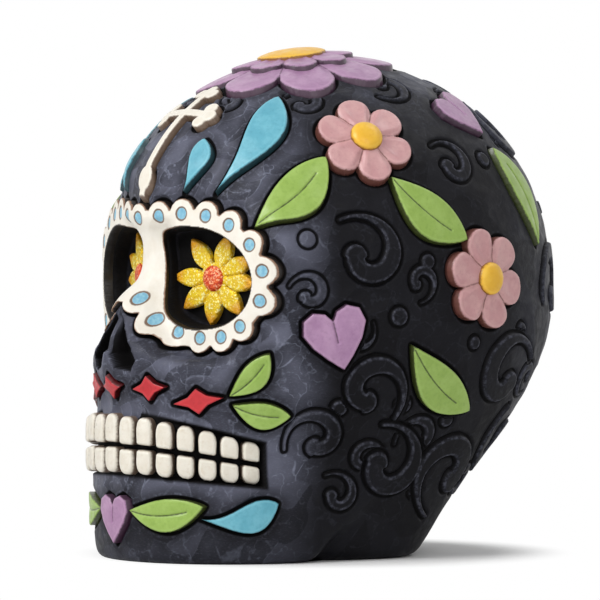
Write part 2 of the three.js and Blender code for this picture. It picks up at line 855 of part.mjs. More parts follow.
// A raised ornament on the skin, as thick as given over the skin
function ornament(placeShares, outline, thickness) {
  return seated(plate(skinUnder(placeShares), outline, clearance + seatDepth + thickness, -seatDepth));
}

// The mask's outer edge, found along a line out of the socket's middle

function pastDisc(direction, center, radius) {
  const along = direction.dot(center);
  const miss = radius ** 2 - (center.lengthSq() - along ** 2);
  return miss > 0 ? along + Math.sqrt(miss) : 0;
}

function pastBridge(direction) {
  if (direction.x >= 0) {
    return 0;
  }
  const limit = direction.y > 0 ? bridgeRise : bridgeDrop;
  return Math.min(bridgeReach / -direction.x, limit / Math.abs(direction.y));
}

function maskEdge(rim) {
  const direction = rim.clone().normalize();
  const discs = dotShares.map(([u, v]) => pastDisc(
    direction,
    new THREE.Vector2(u * socketHalfWidth, v * socketHalfHeight),
    scallopRadius,
  ));
  return direction.multiplyScalar(Math.max(rim.length() + maskBand, pastBridge(direction), ...discs));
}

function maskHalf() {
  const rings = socketOutline(60).map((rim) => {
    const inner = rim.clone().setLength(rim.length() + maskRimStep);
    const outer = maskEdge(rim);
    const at = (share, lift) => onSkin(
      socketSeat,
      THREE.MathUtils.lerp(inner.x, outer.x, share),
      THREE.MathUtils.lerp(inner.y, outer.y, share),
      lift,
    );
    const top = clearance + maskThickness;
    return [
      at(0, -seatDepth),
      at(1, -seatDepth),
      at(1, clearance + maskThickness * maskShoulderShare),
      at(maskOuterCrestShare, top),
      at(maskInnerCrestShare, top),
      at(0, top),
    ];
  });
  return seated(ringSolid(rings));
}

function eyeMask() {
  const sideBox = new THREE.BoxGeometry(faceReach, 2 * faceReach, 2 * faceReach);
  sideBox.translate(faceReach / 2, -faceReach, socketHeight);
  const half = toSolid(maskHalf()).intersect(toSolid(sideBox));
  return toGeometry(half.add(toSolid(mirrored(toGeometry(half)))));
}

// A flower lying on a socket floor
function socketFloor(across, along, lift) {
  return socketPoint(across - eyeFlowerInward, along - eyeFlowerDrop, socketDepth - lift);
}

function eyePetals() {
  const outline = pointedOutline(eyeFlowerHalfWidth, eyeFlowerHalfHeight, eyeFlowerPetals, eyeFlowerValleyShare);
  const flower = toSolid(plate(socketFloor, outline, eyeFlowerThickness, clearance));
  return toGeometry(flower.intersect(toSolid(socketPrism(clearance))));
}

// The cross as one piece, its strips and discs each at a slightly other height
function foreheadCross() {
  const surface = skinUnder(crossPlaceShares);
  const height = clearance + seatDepth + crossThickness;
  const post = [new THREE.Vector2(0, -crossTipReach), new THREE.Vector2(0, crossTopReach)];
  const bar = [new THREE.Vector2(-crossBarReach, 0), new THREE.Vector2(crossBarReach, 0)];
  const solids = [
    strip(surface, ...post, crossArmHalfWidth, height, -seatDepth),
    strip(surface, ...bar, crossArmHalfWidth, height + crossStep, -seatDepth - crossStep),
  ];
  const disc = (x, y, radius, step) => {
    const around = (across, along, lift) => surface(across + x, along + y, lift);
    solids.push(plate(around, discOutline(radius, 9), height + step, -seatDepth - step));
  };
  [post[1], ...bar].forEach((end) => {
    const outward = end.clone().setLength(crossLobeForward);
    const sideways = new THREE.Vector2(-outward.y, outward.x).setLength(crossLobeSpread);
    disc(end.x + outward.x, end.y + outward.y, crossLobeRadius, 2 * crossStep);
    disc(end.x + sideways.x, end.y + sideways.y, crossLobeRadius, -crossStep);
    disc(end.x - sideways.x, end.y - sideways.y, crossLobeRadius, -crossStep);
  });
  disc(0, -crossFootReach, crossFootRadius, 2 * crossStep);
  return seated(toGeometry(solids.map(toSolid).reduce((all, solid) => all.add(solid))));
}

add('skull_shell', skullShell(), slate);
add('base_plate', baseDisc(ledgeWidth, plateBottom, plateBottom + plateThickness), slate);
add('base_felt', baseDisc(ledgeWidth, 0, feltThickness), felt);

const upperHeight = (angle) => rowHeight(upperToothFrontHeight, upperToothRearHeight, angle);
const lowerHeight = (angle) => rowHeight(lowerToothFrontHeight, lowerToothRearHeight, angle);
const lowerTop = (angle) => biteHeight(angle) - biteGap;
add('upper_teeth', teeth(biteHeight, (angle) => biteHeight(angle) + upperHeight(angle)), cream);
add('lower_teeth', teeth((angle) => lowerTop(angle) - lowerHeight(angle), lowerTop), cream);

add('eye_mask', eyeMask(), cream);
addPair('eye_petals', eyePetals(), glitterYellow);
const beadFloor = eyeFlowerThickness + 2 * clearance;
addPair('eye_bead', plate(socketFloor, discOutline(eyeBeadRadius, 12), eyeBeadHeight, beadFloor), glitterRed);

add('forehead_cross', foreheadCross(), cream);

// Diamonds
const centerDiamond = diamondOutline(centerDiamondHalfWidth);
add('center_lip_diamond', ornament(centerDiamondPlaceShares, centerDiamond, diamondThickness), red);
const innerDiamond = diamondOutline(innerDiamondHalfWidth);
addPair('inner_lip_diamond', ornament(innerDiamondPlaceShares, innerDiamond, diamondThickness), red);
const outerDiamond = diamondOutline(outerDiamondHalfWidth);
addPair('outer_lip_diamond', ornament(outerDiamondPlaceShares, outerDiamond, diamondThickness), red);

// Flowers: petals that lie on the skin, and a button on the petals
const buttonFloor = petalThickness + 2 * clearance;

function button(placeShares) {
  return plate(skinUnder(placeShares), discOutline(blossomButtonRadius, 12), buttonThickness, buttonFloor);
}

function petals(placeShares, radius) {
  return ornament(placeShares, blossomOutline(radius, blossomPetals), petalThickness);
}

const crown = skinUnder(crownPlaceShares);
const crownOutline = blossomOutline(crownRadius, crownPetals);
add('crown_petals', ornament(crownPlaceShares, crownOutline, crownPetalThickness), purple);
const innerOutline = blossomOutline(crownInnerRadius, crownPetals);
const innerFloor = crownPetalThickness + 2 * clearance;
add('crown_inner_petals', plate(crown, innerOutline, innerPetalThickness, innerFloor), purple);
const crownButtonFloor = innerFloor + innerPetalThickness + clearance;
add('crown_button', plate(crown, discOutline(crownButtonRadius, 18), crownButtonThickness, crownButtonFloor), gold);

addPair('temple_blossom_petals', petals(templeBlossomPlaceShares, templeBlossomRadius), pink);
addPair('temple_blossom_button', button(templeBlossomPlaceShares), gold);
addPair('rear_blossom_petals', petals(rearBlossomPlaceShares, rearBlossomRadius), pink);
addPair('rear_blossom_button', button(rearBlossomPlaceShares), gold);
add('nape_blossom_petals', petals(napeBlossomPlaceShares, napeBlossomRadius), purple);
add('nape_blossom_button', button(napeBlossomPlaceShares), gold);

// Leaves
function addLeaves(name, placeShares, length, halfWidth) {
  const outline = leafOutline(length, halfWidth, leafRoundShare, leafBendShare);
  addPair(name, ornament(placeShares, outline, leafThickness), green);
}

addLeaves('temple_leaf_front', frontLeafPlaceShares, templeLeafLength, templeLeafHalfWidth);
addLeaves('temple_leaf_back', backLeafPlaceShares, templeLeafLength, templeLeafHalfWidth);
addLeaves('rear_leaf_upper', upperRearLeafPlaceShares, rearLeafLength, rearLeafHalfWidth);
addLeaves('rear_leaf_lower', lowerRearLeafPlaceShares, rearLeafLength, rearLeafHalfWidth);
addLeaves('cheek_leaf_upper', upperCheekLeafPlaceShares, cheekLeafLength, cheekLeafHalfWidth);
addLeaves('cheek_leaf_lower', lowerCheekLeafPlaceShares, cheekLeafLength, cheekLeafHalfWidth);
addLeaves('jaw_leaf', jawLeafPlaceShares, jawLeafLength, jawLeafHalfWidth);

// Drops
function addDrops(name, placeShares, length, halfWidth) {
  const outline = leafOutline(length, halfWidth, dropRoundShare, dropBendShare);
  addPair(name, ornament(placeShares, outline, dropThickness), turquoise);
}

addDrops('brow_drop', browDropPlaceShares, browDropLength, browDropHalfWidth);
addDrops('short_drop', shortDropPlaceShares, shortDropLength, shortDropHalfWidth);
addDrops('jaw_drop', jawDropPlaceShares, jawDropLength, jawDropHalfWidth);

// Hearts
addPair('side_heart', ornament(sideHeartPlaceShares, heartOutline(sideHeartRadius), heartThickness), purple);
addPair('crown_heart', ornament(crownHeartPlaceShares, heartOutline(crownHeartRadius), heartThickness), purple);
add('chin_heart', ornament(chinHeartPlaceShares, heartOutline(chinHeartRadius), heartThickness), purple);

// The origin lies under the middle of the whole figure
const bounds = new THREE.Box3().setFromObject(group);
group.position.set(0, -(bounds.min.y + bounds.max.y) / 2, 0);

export default group;
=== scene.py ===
# A painted sugar skull figurine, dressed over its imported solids.
# Lengths are millimetres until a mesh is made. +Z is up, the face looks along -Y, its own left side is +X.
import math

import bpy
import numpy as np
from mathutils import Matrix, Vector


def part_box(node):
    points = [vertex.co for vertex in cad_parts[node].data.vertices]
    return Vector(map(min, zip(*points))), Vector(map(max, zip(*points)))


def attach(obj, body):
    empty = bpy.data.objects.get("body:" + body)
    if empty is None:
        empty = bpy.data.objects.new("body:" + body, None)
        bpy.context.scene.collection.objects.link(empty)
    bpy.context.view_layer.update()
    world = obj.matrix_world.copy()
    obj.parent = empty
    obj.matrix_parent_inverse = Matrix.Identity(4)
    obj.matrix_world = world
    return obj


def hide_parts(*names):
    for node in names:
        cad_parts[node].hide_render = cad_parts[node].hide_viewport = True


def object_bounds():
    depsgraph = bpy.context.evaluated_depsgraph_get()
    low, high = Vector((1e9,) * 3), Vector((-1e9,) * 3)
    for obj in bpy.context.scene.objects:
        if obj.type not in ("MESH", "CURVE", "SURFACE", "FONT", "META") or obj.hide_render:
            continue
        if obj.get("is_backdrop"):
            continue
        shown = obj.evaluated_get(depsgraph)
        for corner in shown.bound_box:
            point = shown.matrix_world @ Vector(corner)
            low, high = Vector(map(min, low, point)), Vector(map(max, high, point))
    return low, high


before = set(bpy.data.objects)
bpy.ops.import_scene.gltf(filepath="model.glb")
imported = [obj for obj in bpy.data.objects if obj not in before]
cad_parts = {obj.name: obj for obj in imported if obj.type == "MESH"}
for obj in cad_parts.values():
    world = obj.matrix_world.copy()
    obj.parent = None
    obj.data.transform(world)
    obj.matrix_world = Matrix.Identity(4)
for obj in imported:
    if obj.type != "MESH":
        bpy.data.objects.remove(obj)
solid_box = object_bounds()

METRE = 0.001
RANDOM = np.random.default_rng(41)

# Main sizes of the head. A middle is a place along Y and Z, a half is half a size along X, Y and Z, and
# what is ahead lies that far along -Y

TOP = 128.0
HEART = np.array((0.0, 0.0, 62.0))
FOOT_MIDDLE = -9.0
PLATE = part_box("base_plate")
# How far along Y the solids' frame lies from these sizes, read off the base plate, whose middle is the foot's
SHIFT = (PLATE[0].y + PLATE[1].y) / 2 / METRE - FOOT_MIDDLE
CASE_MIDDLE, CASE_HALF = (3.0, 71.0), (50.0, 61.0, 57.0)
NECK_TOP, NECK_FRONT = 66.0, 50.0
FACE_AHEAD, FACE_REACH, FACE_HALF_WIDTH, FACE_TOP = 28.0, 65.0, 38.5, 98.0
BRIDGE_MIDDLE, BRIDGE_HALF = (-52.0, 56.0), (6.5, 10.3, 14.0)
NOSE_MIDDLE, NOSE_HALF = (-53.0, 51.5), (11.0, 10.3, 8.0)
BROW_TURN = math.radians(19.9)
FOOT_EDGE = 2.5
ARCH, ARCH_AHEAD, RECESS = 31.6, 34.0, 28.2
TOOTH_COUNT, TEETH_HALF_SPAN = 16, math.radians(84)
BITE_GAP, UPPER_TALL, LOWER_TALL = 0.9, (7.6, 4.7), (6.8, 4.4)


def tone(r, g, b):
    """A colour that is given as it looks, from 0 to 255."""
    c = np.array((r, g, b)) / 255
    return tuple(np.where(c < 0.04045, c / 12.92, ((c + 0.055) / 1.055) ** 2.4)) + (1.0,)


# Smooth joins of distances


def least(a, b, blend):
    near = np.maximum(blend - np.abs(a - b), 0) / blend
    return np.minimum(a, b) - near * near * blend / 4


def most(a, b, blend):
    return -least(-a, -b, blend)


def step(low, high, x):
    t = np.clip((x - low) / (high - low), 0, 1)
    return t * t * (3 - 2 * t)


def bell(x):
    return np.exp(-x * x)


# The bare skull as a distance, below zero inside


def ellipsoid(x, y, z, half, power):
    u, v, w = x / half[0], y / half[1], z / half[2]
    reach = (np.hypot(u, v) ** power + np.abs(w) ** power) ** (1 / power)
    slope = np.sqrt((u / half[0]) ** 2 + (v / half[1]) ** 2 + (w / half[2]) ** 2)
    return reach * (reach - 1) / np.maximum(slope, 1e-9)


# Shares of the height, the front reach and the half width of the face from chin to brow, then its squareness
FACE_SHARES = np.array([
    (0.00, 0.935, 0.850, 2.15),
    (0.05, 0.942, 0.885, 2.15),
    (0.14, 0.948, 0.885, 2.15),
    (0.23, 0.955, 0.865, 2.15),
    (0.31, 0.935, 0.865, 2.15),
    (0.36, 0.940, 0.900, 2.15),
    (0.415, 0.966, 0.950, 2.3),
    (0.47, 0.940, 1.000, 2.8),
    (0.52, 0.880, 1.060, 3.4),
    (0.565, 0.835, 1.090, 3.4),
    (0.63, 0.800, 1.110, 3.6),
    (0.72, 0.700, 0.920, 2.9),
    (0.80, 0.520, 0.500, 2.2),
])
FACE = FACE_SHARES * (TOP, FACE_REACH, FACE_HALF_WIDTH, 1.0)
FACE_SLOPES = [np.gradient(FACE[:, i], FACE[:, 0]) for i in range(4)]


def face_row(column, z):
    """A column of the face's table at some height, on a smooth curve through its rows."""
    h = FACE[:, 0]
    z = np.clip(z, h[0], h[-1] - 1e-6)
    i = np.clip(np.searchsorted(h, z, side="right") - 1, 0, len(h) - 2)
    span = h[i + 1] - h[i]
    t = (z - h[i]) / span
    ease = 2 * t**3 - 3 * t**2 + 1
    slope = FACE_SLOPES[column]
    value = FACE[:, column]
    turns = (t**3 - 2 * t**2 + t) * span * slope[i] + (t**3 - t**2) * span * slope[i + 1]
    return ease * value[i] + (1 - ease) * value[i + 1] + turns


def brain_case(x, y, z):
    y, z = y - CASE_MIDDLE[0], z - CASE_MIDDLE[1]
    power = 2.04 + 0.13 * np.clip(0.25 - y / CASE_HALF[1], 0, 1) * np.clip(2 * z / CASE_HALF[2], 0, 1)
    return ellipsoid(x, y, z, CASE_HALF, power)


def neck(x, y, z):
    t = np.clip(z / NECK_TOP, 0, 1)
    t = t * (1.25 - 0.25 * t)
    half_x, half_y, middle = 31 + 18 * t, 23 + 34 * t, -3.5 + 6.5 * t
    reach = ((x / half_x) ** 2.5 + (np.abs(y - middle) / half_y) ** 2.5) ** 0.4
    side = most((reach - 1) * half_x * 0.82, z - NECK_TOP, 20)
    return most(side, -(y + NECK_FRONT), 6)


def face_plate(x, y, z):
    front = face_row(1, z) - FACE_AHEAD
    power = face_row(3, z)
    ahead = np.maximum(-FACE_AHEAD - y, 0)
    reach = ((x / face_row(2, z)) ** power + (ahead / front) ** power) ** (1 / power)
    rear = np.maximum((y + 22 - 0.7 * z) * 0.8, (y + z - 60.4) * 0.7)
    return most(most((reach - 1) * front, rear, 3), z - FACE_TOP, 6)


def brow_field(x, y, z):
    """The fields cut round the eyes, turned back to the sides, with a dip at the nose and sloping ends."""
    near = np.maximum(1 - (x / 14) ** 4, 0) * np.maximum(1 - ((z - 75) / 13) ** 4, 0)
    plane = (np.hypot(x, 3) - 6.2) * math.sin(BROW_TURN) - (y + 52.9) * math.cos(BROW_TURN) + 3.2 * near**2
    bottom = 54.3 - 2.6 * step(12, 18, np.abs(x))
    top = FACE_TOP - 1
    return least(plane, least((z - bottom) * 0.6, (top - z) * 0.6, 4), 4)


def skin(p):
    x, y, z = np.abs(p[..., 0]), p[..., 1], p[..., 2]
    d = least(brain_case(x, y, z), neck(x, y, z), 8)
    d = least(d, face_plate(x, y, z), 5)
    d = most(d, brow_field(x, y, z), 4)
    d = least(d, ellipsoid(x, y - BRIDGE_MIDDLE[0], z - BRIDGE_MIDDLE[1], BRIDGE_HALF, 2), 7)
    d = least(d, ellipsoid(x, y - NOSE_MIDDLE[0], z - NOSE_MIDDLE[1], NOSE_HALF, 2.2), 5)
    return most(d, -z, FOOT_EDGE)


def reach_skin(start, ray, far):
    """The point along each ray, from inside, where the skin is crossed."""
    near = np.zeros(ray.shape[:-1])
    far = np.full(ray.shape[:-1], float(far))
    for _ in range(12):
        middle = (near + far) / 2
        inside = skin(start + ray * middle[..., None]) < 0
        near = np.where(inside, middle, near)
        far = np.where(inside, far, middle)
    d_near = skin(start + ray * near[..., None])
    d_far = skin(start + ray * far[..., None])
    t = near + (far - near) * np.clip(d_near / np.minimum(d_near - d_far, -1e-9), 0, 1)
    return start + ray * t[..., None]


# Seats of the ornaments


class Seat:
    """A place on the skin with directions across, along and out of it, for an ornament's plan."""

    def __init__(self, center, out, tilt):
        self.center, self.out = np.array(center, float), np.array(out, float)
        up = np.array((0.0, 1, 0) if abs(out[2]) > 0.9 else (0.0, 0, 1))
        along = up - self.out * (up @ self.out)
        along /= np.linalg.norm(along)
        self.along = along * math.cos(tilt) + np.cross(self.out, along) * math.sin(tilt)
        self.across = np.cross(self.along, self.out)

    def plane(self, u, v, w):
        w = np.broadcast_to(w, np.shape(u))
        return self.center + u[..., None] * self.across + v[..., None] * self.along + w[..., None] * self.out

    def on_skin(self, u, v, lift):
        """Points of the plan laid on the skin and lifted off it."""
        start = self.plane(u, v, -12)
        point = reach_skin(start, np.broadcast_to(self.out, start.shape), 24)
        return point + np.asarray(lift)[..., None] * self.out

    def places(self, p):
        """The places of points in the plan, and how far they lie out of it."""
        q = p - self.center
        return q @ self.across, q @ self.along, q @ self.out


def seat_on(turn, rise, tilt):
    """A seat found out of the heart, by shares of a turn."""
    turn, rise = turn * math.tau, rise * math.tau
    ray = np.array((math.sin(turn) * math.cos(rise), -math.cos(turn) * math.cos(rise), math.sin(rise)))
    center = reach_skin(HEART, ray, TOP)
    probe = 0.05 * np.eye(3)
    out = skin(center + probe) - skin(center - probe)
    return Seat(center, out / np.linalg.norm(out), tilt * math.tau)


EYE_TURN = math.radians(17)
EYE = Seat((19.8, -47.2, 72.4), (math.sin(EYE_TURN), -math.cos(EYE_TURN), 0), 0)

# Outlines, as loops of places


def loop_through(points, each=10):
    """A smooth closed loop through some points."""
    p = np.array(points, float)
    t = np.linspace(0, 1, each, endpoint=False)[:, None]
    out = []
    for i in range(len(p)):
        a, b, c, d = p[i - 1], p[i], p[(i + 1) % len(p)], p[(i + 2) % len(p)]
        bend, twist = 2 * a - 5 * b + 4 * c - d, 3 * b - a - 3 * c + d
        out.append(0.5 * (2 * b + (c - a) * t + bend * t**2 + twist * t**3))
    return np.concatenate(out)


def loop_distance(loop):
    """A function that gives the signed distance to a loop, below zero inside."""
    a, b = loop, np.roll(loop, -1, 0)

    def distance(u, v):
        shape = np.shape(u)
        u, v = np.ravel(u), np.ravel(v)
        best = np.full(u.shape, np.inf)
        inside = np.zeros(u.shape, bool)
        for (ax, ay), (bx, by) in zip(a, b):
            ex, ey = bx - ax, by - ay
            du, dv = u - ax, v - ay
            t = np.clip((du * ex + dv * ey) / max(ex * ex + ey * ey, 1e-12), 0, 1)
            best = np.minimum(best, (du - t * ex) ** 2 + (dv - t * ey) ** 2)
            if ay != by:
                crosses = (ay > v) != (by > v)
                inside ^= crosses & (du < ex * dv / ey)
        best = np.sqrt(best)
        return np.where(inside, -best, best).reshape(shape)

    return distance


def blossom_loop(radius, petals):
    count = petals * 24
    angle = np.arange(count) * math.tau / count
    r = radius * (0.64 + 0.36 * np.sqrt(np.abs(np.cos(petals * angle / 2))))
    return np.stack((r * np.sin(angle), r * np.cos(angle)), 1)


def leaf_loop(length, half_width, roundness, bend):
    t = np.linspace(0, 1, 34)
    half = half_width * np.sin(math.pi * t**roundness) ** 0.8
    middle = bend * length * (1 - (2 * t - 1) ** 2)
    along = length * (t - 0.5)
    right = np.stack((middle + half, along), 1)
    left = np.stack((middle - half, along), 1)[1:-1]
    return np.concatenate((right, left[::-1]))


def heart_loop(radius):
    lower = [(0, -1), (0.38, -0.62), (0.75, -0.18), (0.98, 0.28)]
    side = lower + [(0.88, 0.7), (0.52, 0.88), (0.18, 0.76), (0, 0.5)]
    other = [(-u, v) for u, v in side[-2:0:-1]]
    return np.array(side + other) * radius


DIAMOND_HALF_HEIGHT, WAIST_SHARE = 3.3, 0.38


def diamond_loop(half_width):
    """Four points with drawn-in sides."""
    turns = math.tau / 4 * np.arange(4)
    points = np.round(np.stack((np.sin(turns), np.cos(turns)), 1))
    waists = (points + np.roll(points, -1, 0)) * WAIST_SHARE
    return np.stack((points, waists), 1).reshape(-1, 2) * (half_width, DIAMOND_HALF_HEIGHT)


def stroke_distance(path, radii):
    """The signed distance to a brush stroke of changing width."""
    a, b = path[:-1], path[1:]

    def distance(u, v):
        best = np.full(np.shape(u), np.inf)
        for (ax, ay), (bx, by), ra, rb in zip(a, b, radii[:-1], radii[1:]):
            ex, ey = bx - ax, by - ay
            du, dv = u - ax, v - ay
            t = np.clip((du * ex + dv * ey) / max(ex * ex + ey * ey, 1e-12), 0, 1)
            best = np.minimum(best, np.hypot(du - t * ex, dv - t * ey) - ra - (rb - ra) * t)
        return best

    return distance


SCROLL_REACH, SCROLL_TURN, SCROLL_HALF, SCROLL_HEAD = 14.0, math.radians(300), 3.1, 3.9


def scroll(size):
    """A spiral that starts thin and ends in a round head, and its reach. Below zero it curls back."""
    t = np.linspace(0, 1, 40)
    reach = abs(size) * SCROLL_REACH * 0.3**t
    angle = math.copysign(SCROLL_TURN, size) * t
    path = np.stack((reach * np.sin(angle), reach * np.cos(angle)), 1)
    radii = abs(size) * SCROLL_HALF * (0.22 + 0.78 * step(0, 0.5, t))
    radii[-1] = abs(size) * SCROLL_HEAD
    return stroke_distance(path, radii), abs(size) * (SCROLL_REACH + 4)


def disc_distance(radius):
    return lambda u, v: np.hypot(u, v) - radius


# Eye opening, mask and its dots, from shares of the opening's half width and half height

EYE_HALF = (15.35, 12.6)
MASK_BAND, SCALLOP = 4.9, 3.8
STRIP_MIDDLE, STRIP_HALF = (-13, 5.3), (11, 11.7)
EYE_LOOP = loop_through([
    (-0.94, 0.84), (-0.58, 0.96), (-0.2, 0.98), (0.19, 0.92), (0.58, 0.73), (0.9, 0.4), (1.04, -0.04),
    (0.93, -0.52), (0.57, -0.86), (0.12, -0.99), (-0.34, -0.97), (-0.7, -0.74), (-0.86, -0.32), (-0.92, 0.3),
]) * EYE_HALF
EYE_OPENING = loop_distance(EYE_LOOP)
DOTS = np.array([
    (-1.38, 1.18), (-0.88, 1.23), (-0.385, 1.28), (0.117, 1.24), (0.6, 1.06), (1.03, 0.67), (1.27, 0.15),
    (1.225, -0.445), (0.84, -0.96), (0.45, -1.18), (0.013, -1.21), (-0.436, -1.095), (-0.853, -0.85),
    (-1.16, -0.43),
]) * EYE_HALF


def dot_distance(u, v):
    return np.min([np.hypot(u - a, v - b) for a, b in DOTS], 0)


def box_distance(u, v, middle, half):
    return np.maximum(np.abs(u - middle[0]) - half[0], np.abs(v - middle[1]) - half[1])


def mask_distance(u, v):
    """A band round the opening with a scallop at each dot, and the strip that joins it over the nose."""
    opening = EYE_OPENING(u, v)
    outer = least(opening - MASK_BAND, dot_distance(u, v) - SCALLOP, 0.5)
    outer = np.minimum(outer, box_distance(u, v, STRIP_MIDDLE, STRIP_HALF))
    return np.maximum(outer, 0.4 - opening)


CROSS_BAR, CROSS_ARM, CROSS_HEAD, CROSS_FOOT, FOOT_RADIUS = 1.25, 8.6, 8.0, 20.0, 2.9
LOBE, LOBE_AHEAD, LOBE_ASIDE = 2.0, 1.6, 2.5


def cross_distance(u, v):
    """A cross with three round lobes at each end of its arms and head and a round foot."""
    d = np.maximum(np.abs(u) - CROSS_BAR, np.abs(v + 7.9) - 15.9)
    d = np.minimum(d, np.maximum(np.abs(u) - CROSS_ARM, np.abs(v) - CROSS_BAR))
    d = np.minimum(d, np.hypot(u, v + CROSS_FOOT) - FOOT_RADIUS)
    for out_u, out_v, reach in ((0, 1, CROSS_HEAD), (1, 0, CROSS_ARM), (-1, 0, CROSS_ARM)):
        end_u, end_v = u - out_u * reach, v - out_v * reach
        d = np.minimum(d, np.hypot(end_u - LOBE_AHEAD * out_u, end_v - LOBE_AHEAD * out_v) - LOBE)
        for side in (-LOBE_ASIDE, LOBE_ASIDE):
            d = np.minimum(d, np.hypot(end_u - side * out_v, end_v - side * out_u) - LOBE)
    return d


# Meshes


def new_mesh(name, points, quads, facts=None, flat_angle=None, triangles=()):
    """A mesh object from millimetre points, shifted onto the solids' origin."""
    mesh = bpy.data.meshes.new(name)
    co = (points + (0, SHIFT, 0)) * METRE
    quads = np.asarray(quads, np.int32).reshape(-1, 4)
    triangles = np.asarray(triangles, np.int32).reshape(-1, 3)
    corners = np.concatenate((quads.ravel(), triangles.ravel()))
    starts = np.concatenate((np.arange(len(quads)) * 4, len(quads) * 4 + np.arange(len(triangles)) * 3))
    mesh.vertices.add(len(co))
    mesh.vertices.foreach_set("co", co.astype(np.float32).ravel())
    mesh.loops.add(len(corners))
    mesh.loops.foreach_set("vertex_index", corners)
    mesh.polygons.add(len(starts))
    mesh.polygons.foreach_set("loop_start", starts.astype(np.int32))
    mesh.update(calc_edges=True)
    mesh.validate()
    mesh.shade_smooth()
    if flat_angle:
        mesh.set_sharp_from_angle(angle=math.radians(flat_angle))
    for key, values in (facts or {}).items():
        mesh.attributes.new(key, "FLOAT", "POINT").data.foreach_set("value", values.astype(np.float32))
    obj = bpy.data.objects.new(name, mesh)
    bpy.context.scene.collection.objects.link(obj)
    return obj


def relief(surface, distance, low, high, cell, height, floor):
    """A raised plate: a fine grid inside an outline, its edge snapped to it, with a wall down to the floor.

    Gives the points, the quads, and each point's place and inward distance, which is -1 on the wall."""
    count = [int(math.ceil((b - a) / cell)) + 1 for a, b in zip(low, high)]
    u, v = np.meshgrid(*(np.linspace(a, b, n) for a, b, n in zip(low, high, count)), indexing="ij")
    d = distance(u, v)
    inside = d < 0
    used = inside[:-1, :-1] | inside[1:, :-1] | inside[1:, 1:] | inside[:-1, 1:]
    number = np.arange(u.size).reshape(u.shape)
    quads = np.stack((number[:-1, :-1], number[1:, :-1], number[1:, 1:], number[:-1, 1:]), -1)[used]
    kept, quads = np.unique(quads, return_inverse=True)
    quads = quads.reshape(-1, 4)
    u, v, d = u.ravel()[kept], v.ravel()[kept], d.ravel()[kept]
    probe = cell / 8
    for turn in range(3):
        outer = np.flatnonzero(d > 0)
        a, b, c = u[outer], v[outer], d[outer]
        slope_u = (distance(a + probe, b) - distance(a - probe, b)) / (2 * probe)
        slope_v = (distance(a, b + probe) - distance(a, b - probe)) / (2 * probe)
        size = np.maximum(slope_u**2 + slope_v**2, 0.25)
        u[outer] -= c * slope_u / size
        v[outer] -= c * slope_v / size
        d[outer] = distance(u[outer], v[outer])
        if turn < 2:
            d[outer] = np.maximum(d[outer], 1e-6)
    depth = np.maximum(-d, 0)
    depth[outer] = 0
    points = surface(u, v, height(u, v, depth))
    edges = np.concatenate([quads[:, [i, (i + 1) % 4]] for i in range(4)])
    codes = edges[:, 0].astype(np.int64) * len(u) + edges[:, 1]
    back = edges[:, 1].astype(np.int64) * len(u) + edges[:, 0]
    rim = edges[~np.isin(codes, back)]
    ends = np.unique(rim)
    lower = np.full(len(u), -1)
    lower[ends] = len(u) + np.arange(len(ends))
    wall = np.stack((rim[:, 1], rim[:, 0], lower[rim[:, 0]], lower[rim[:, 1]]), 1)
    feet = surface(u[ends], v[ends], np.full(len(ends), float(floor)))
    points = np.concatenate((points, feet))
    quads = np.concatenate((quads, wall))
    depth = np.append(depth, np.full(len(ends), -1.0))
    return points, quads, np.append(u, u[ends]), np.append(v, v[ends]), depth


def rounding(depth, edge):
    """Rises as a quarter circle from 0 at the rim to 1 at some width inside it."""
    return np.sqrt(1 - (1 - np.clip(depth / edge, 0, 1)) ** 2)


def dome(thick, edge, share):
    """The height of a plate whose edge stands upright for a share of it and is rounded above that."""
    return lambda u, v, depth: thick * (share + (1 - share) * rounding(depth, edge))


# Materials


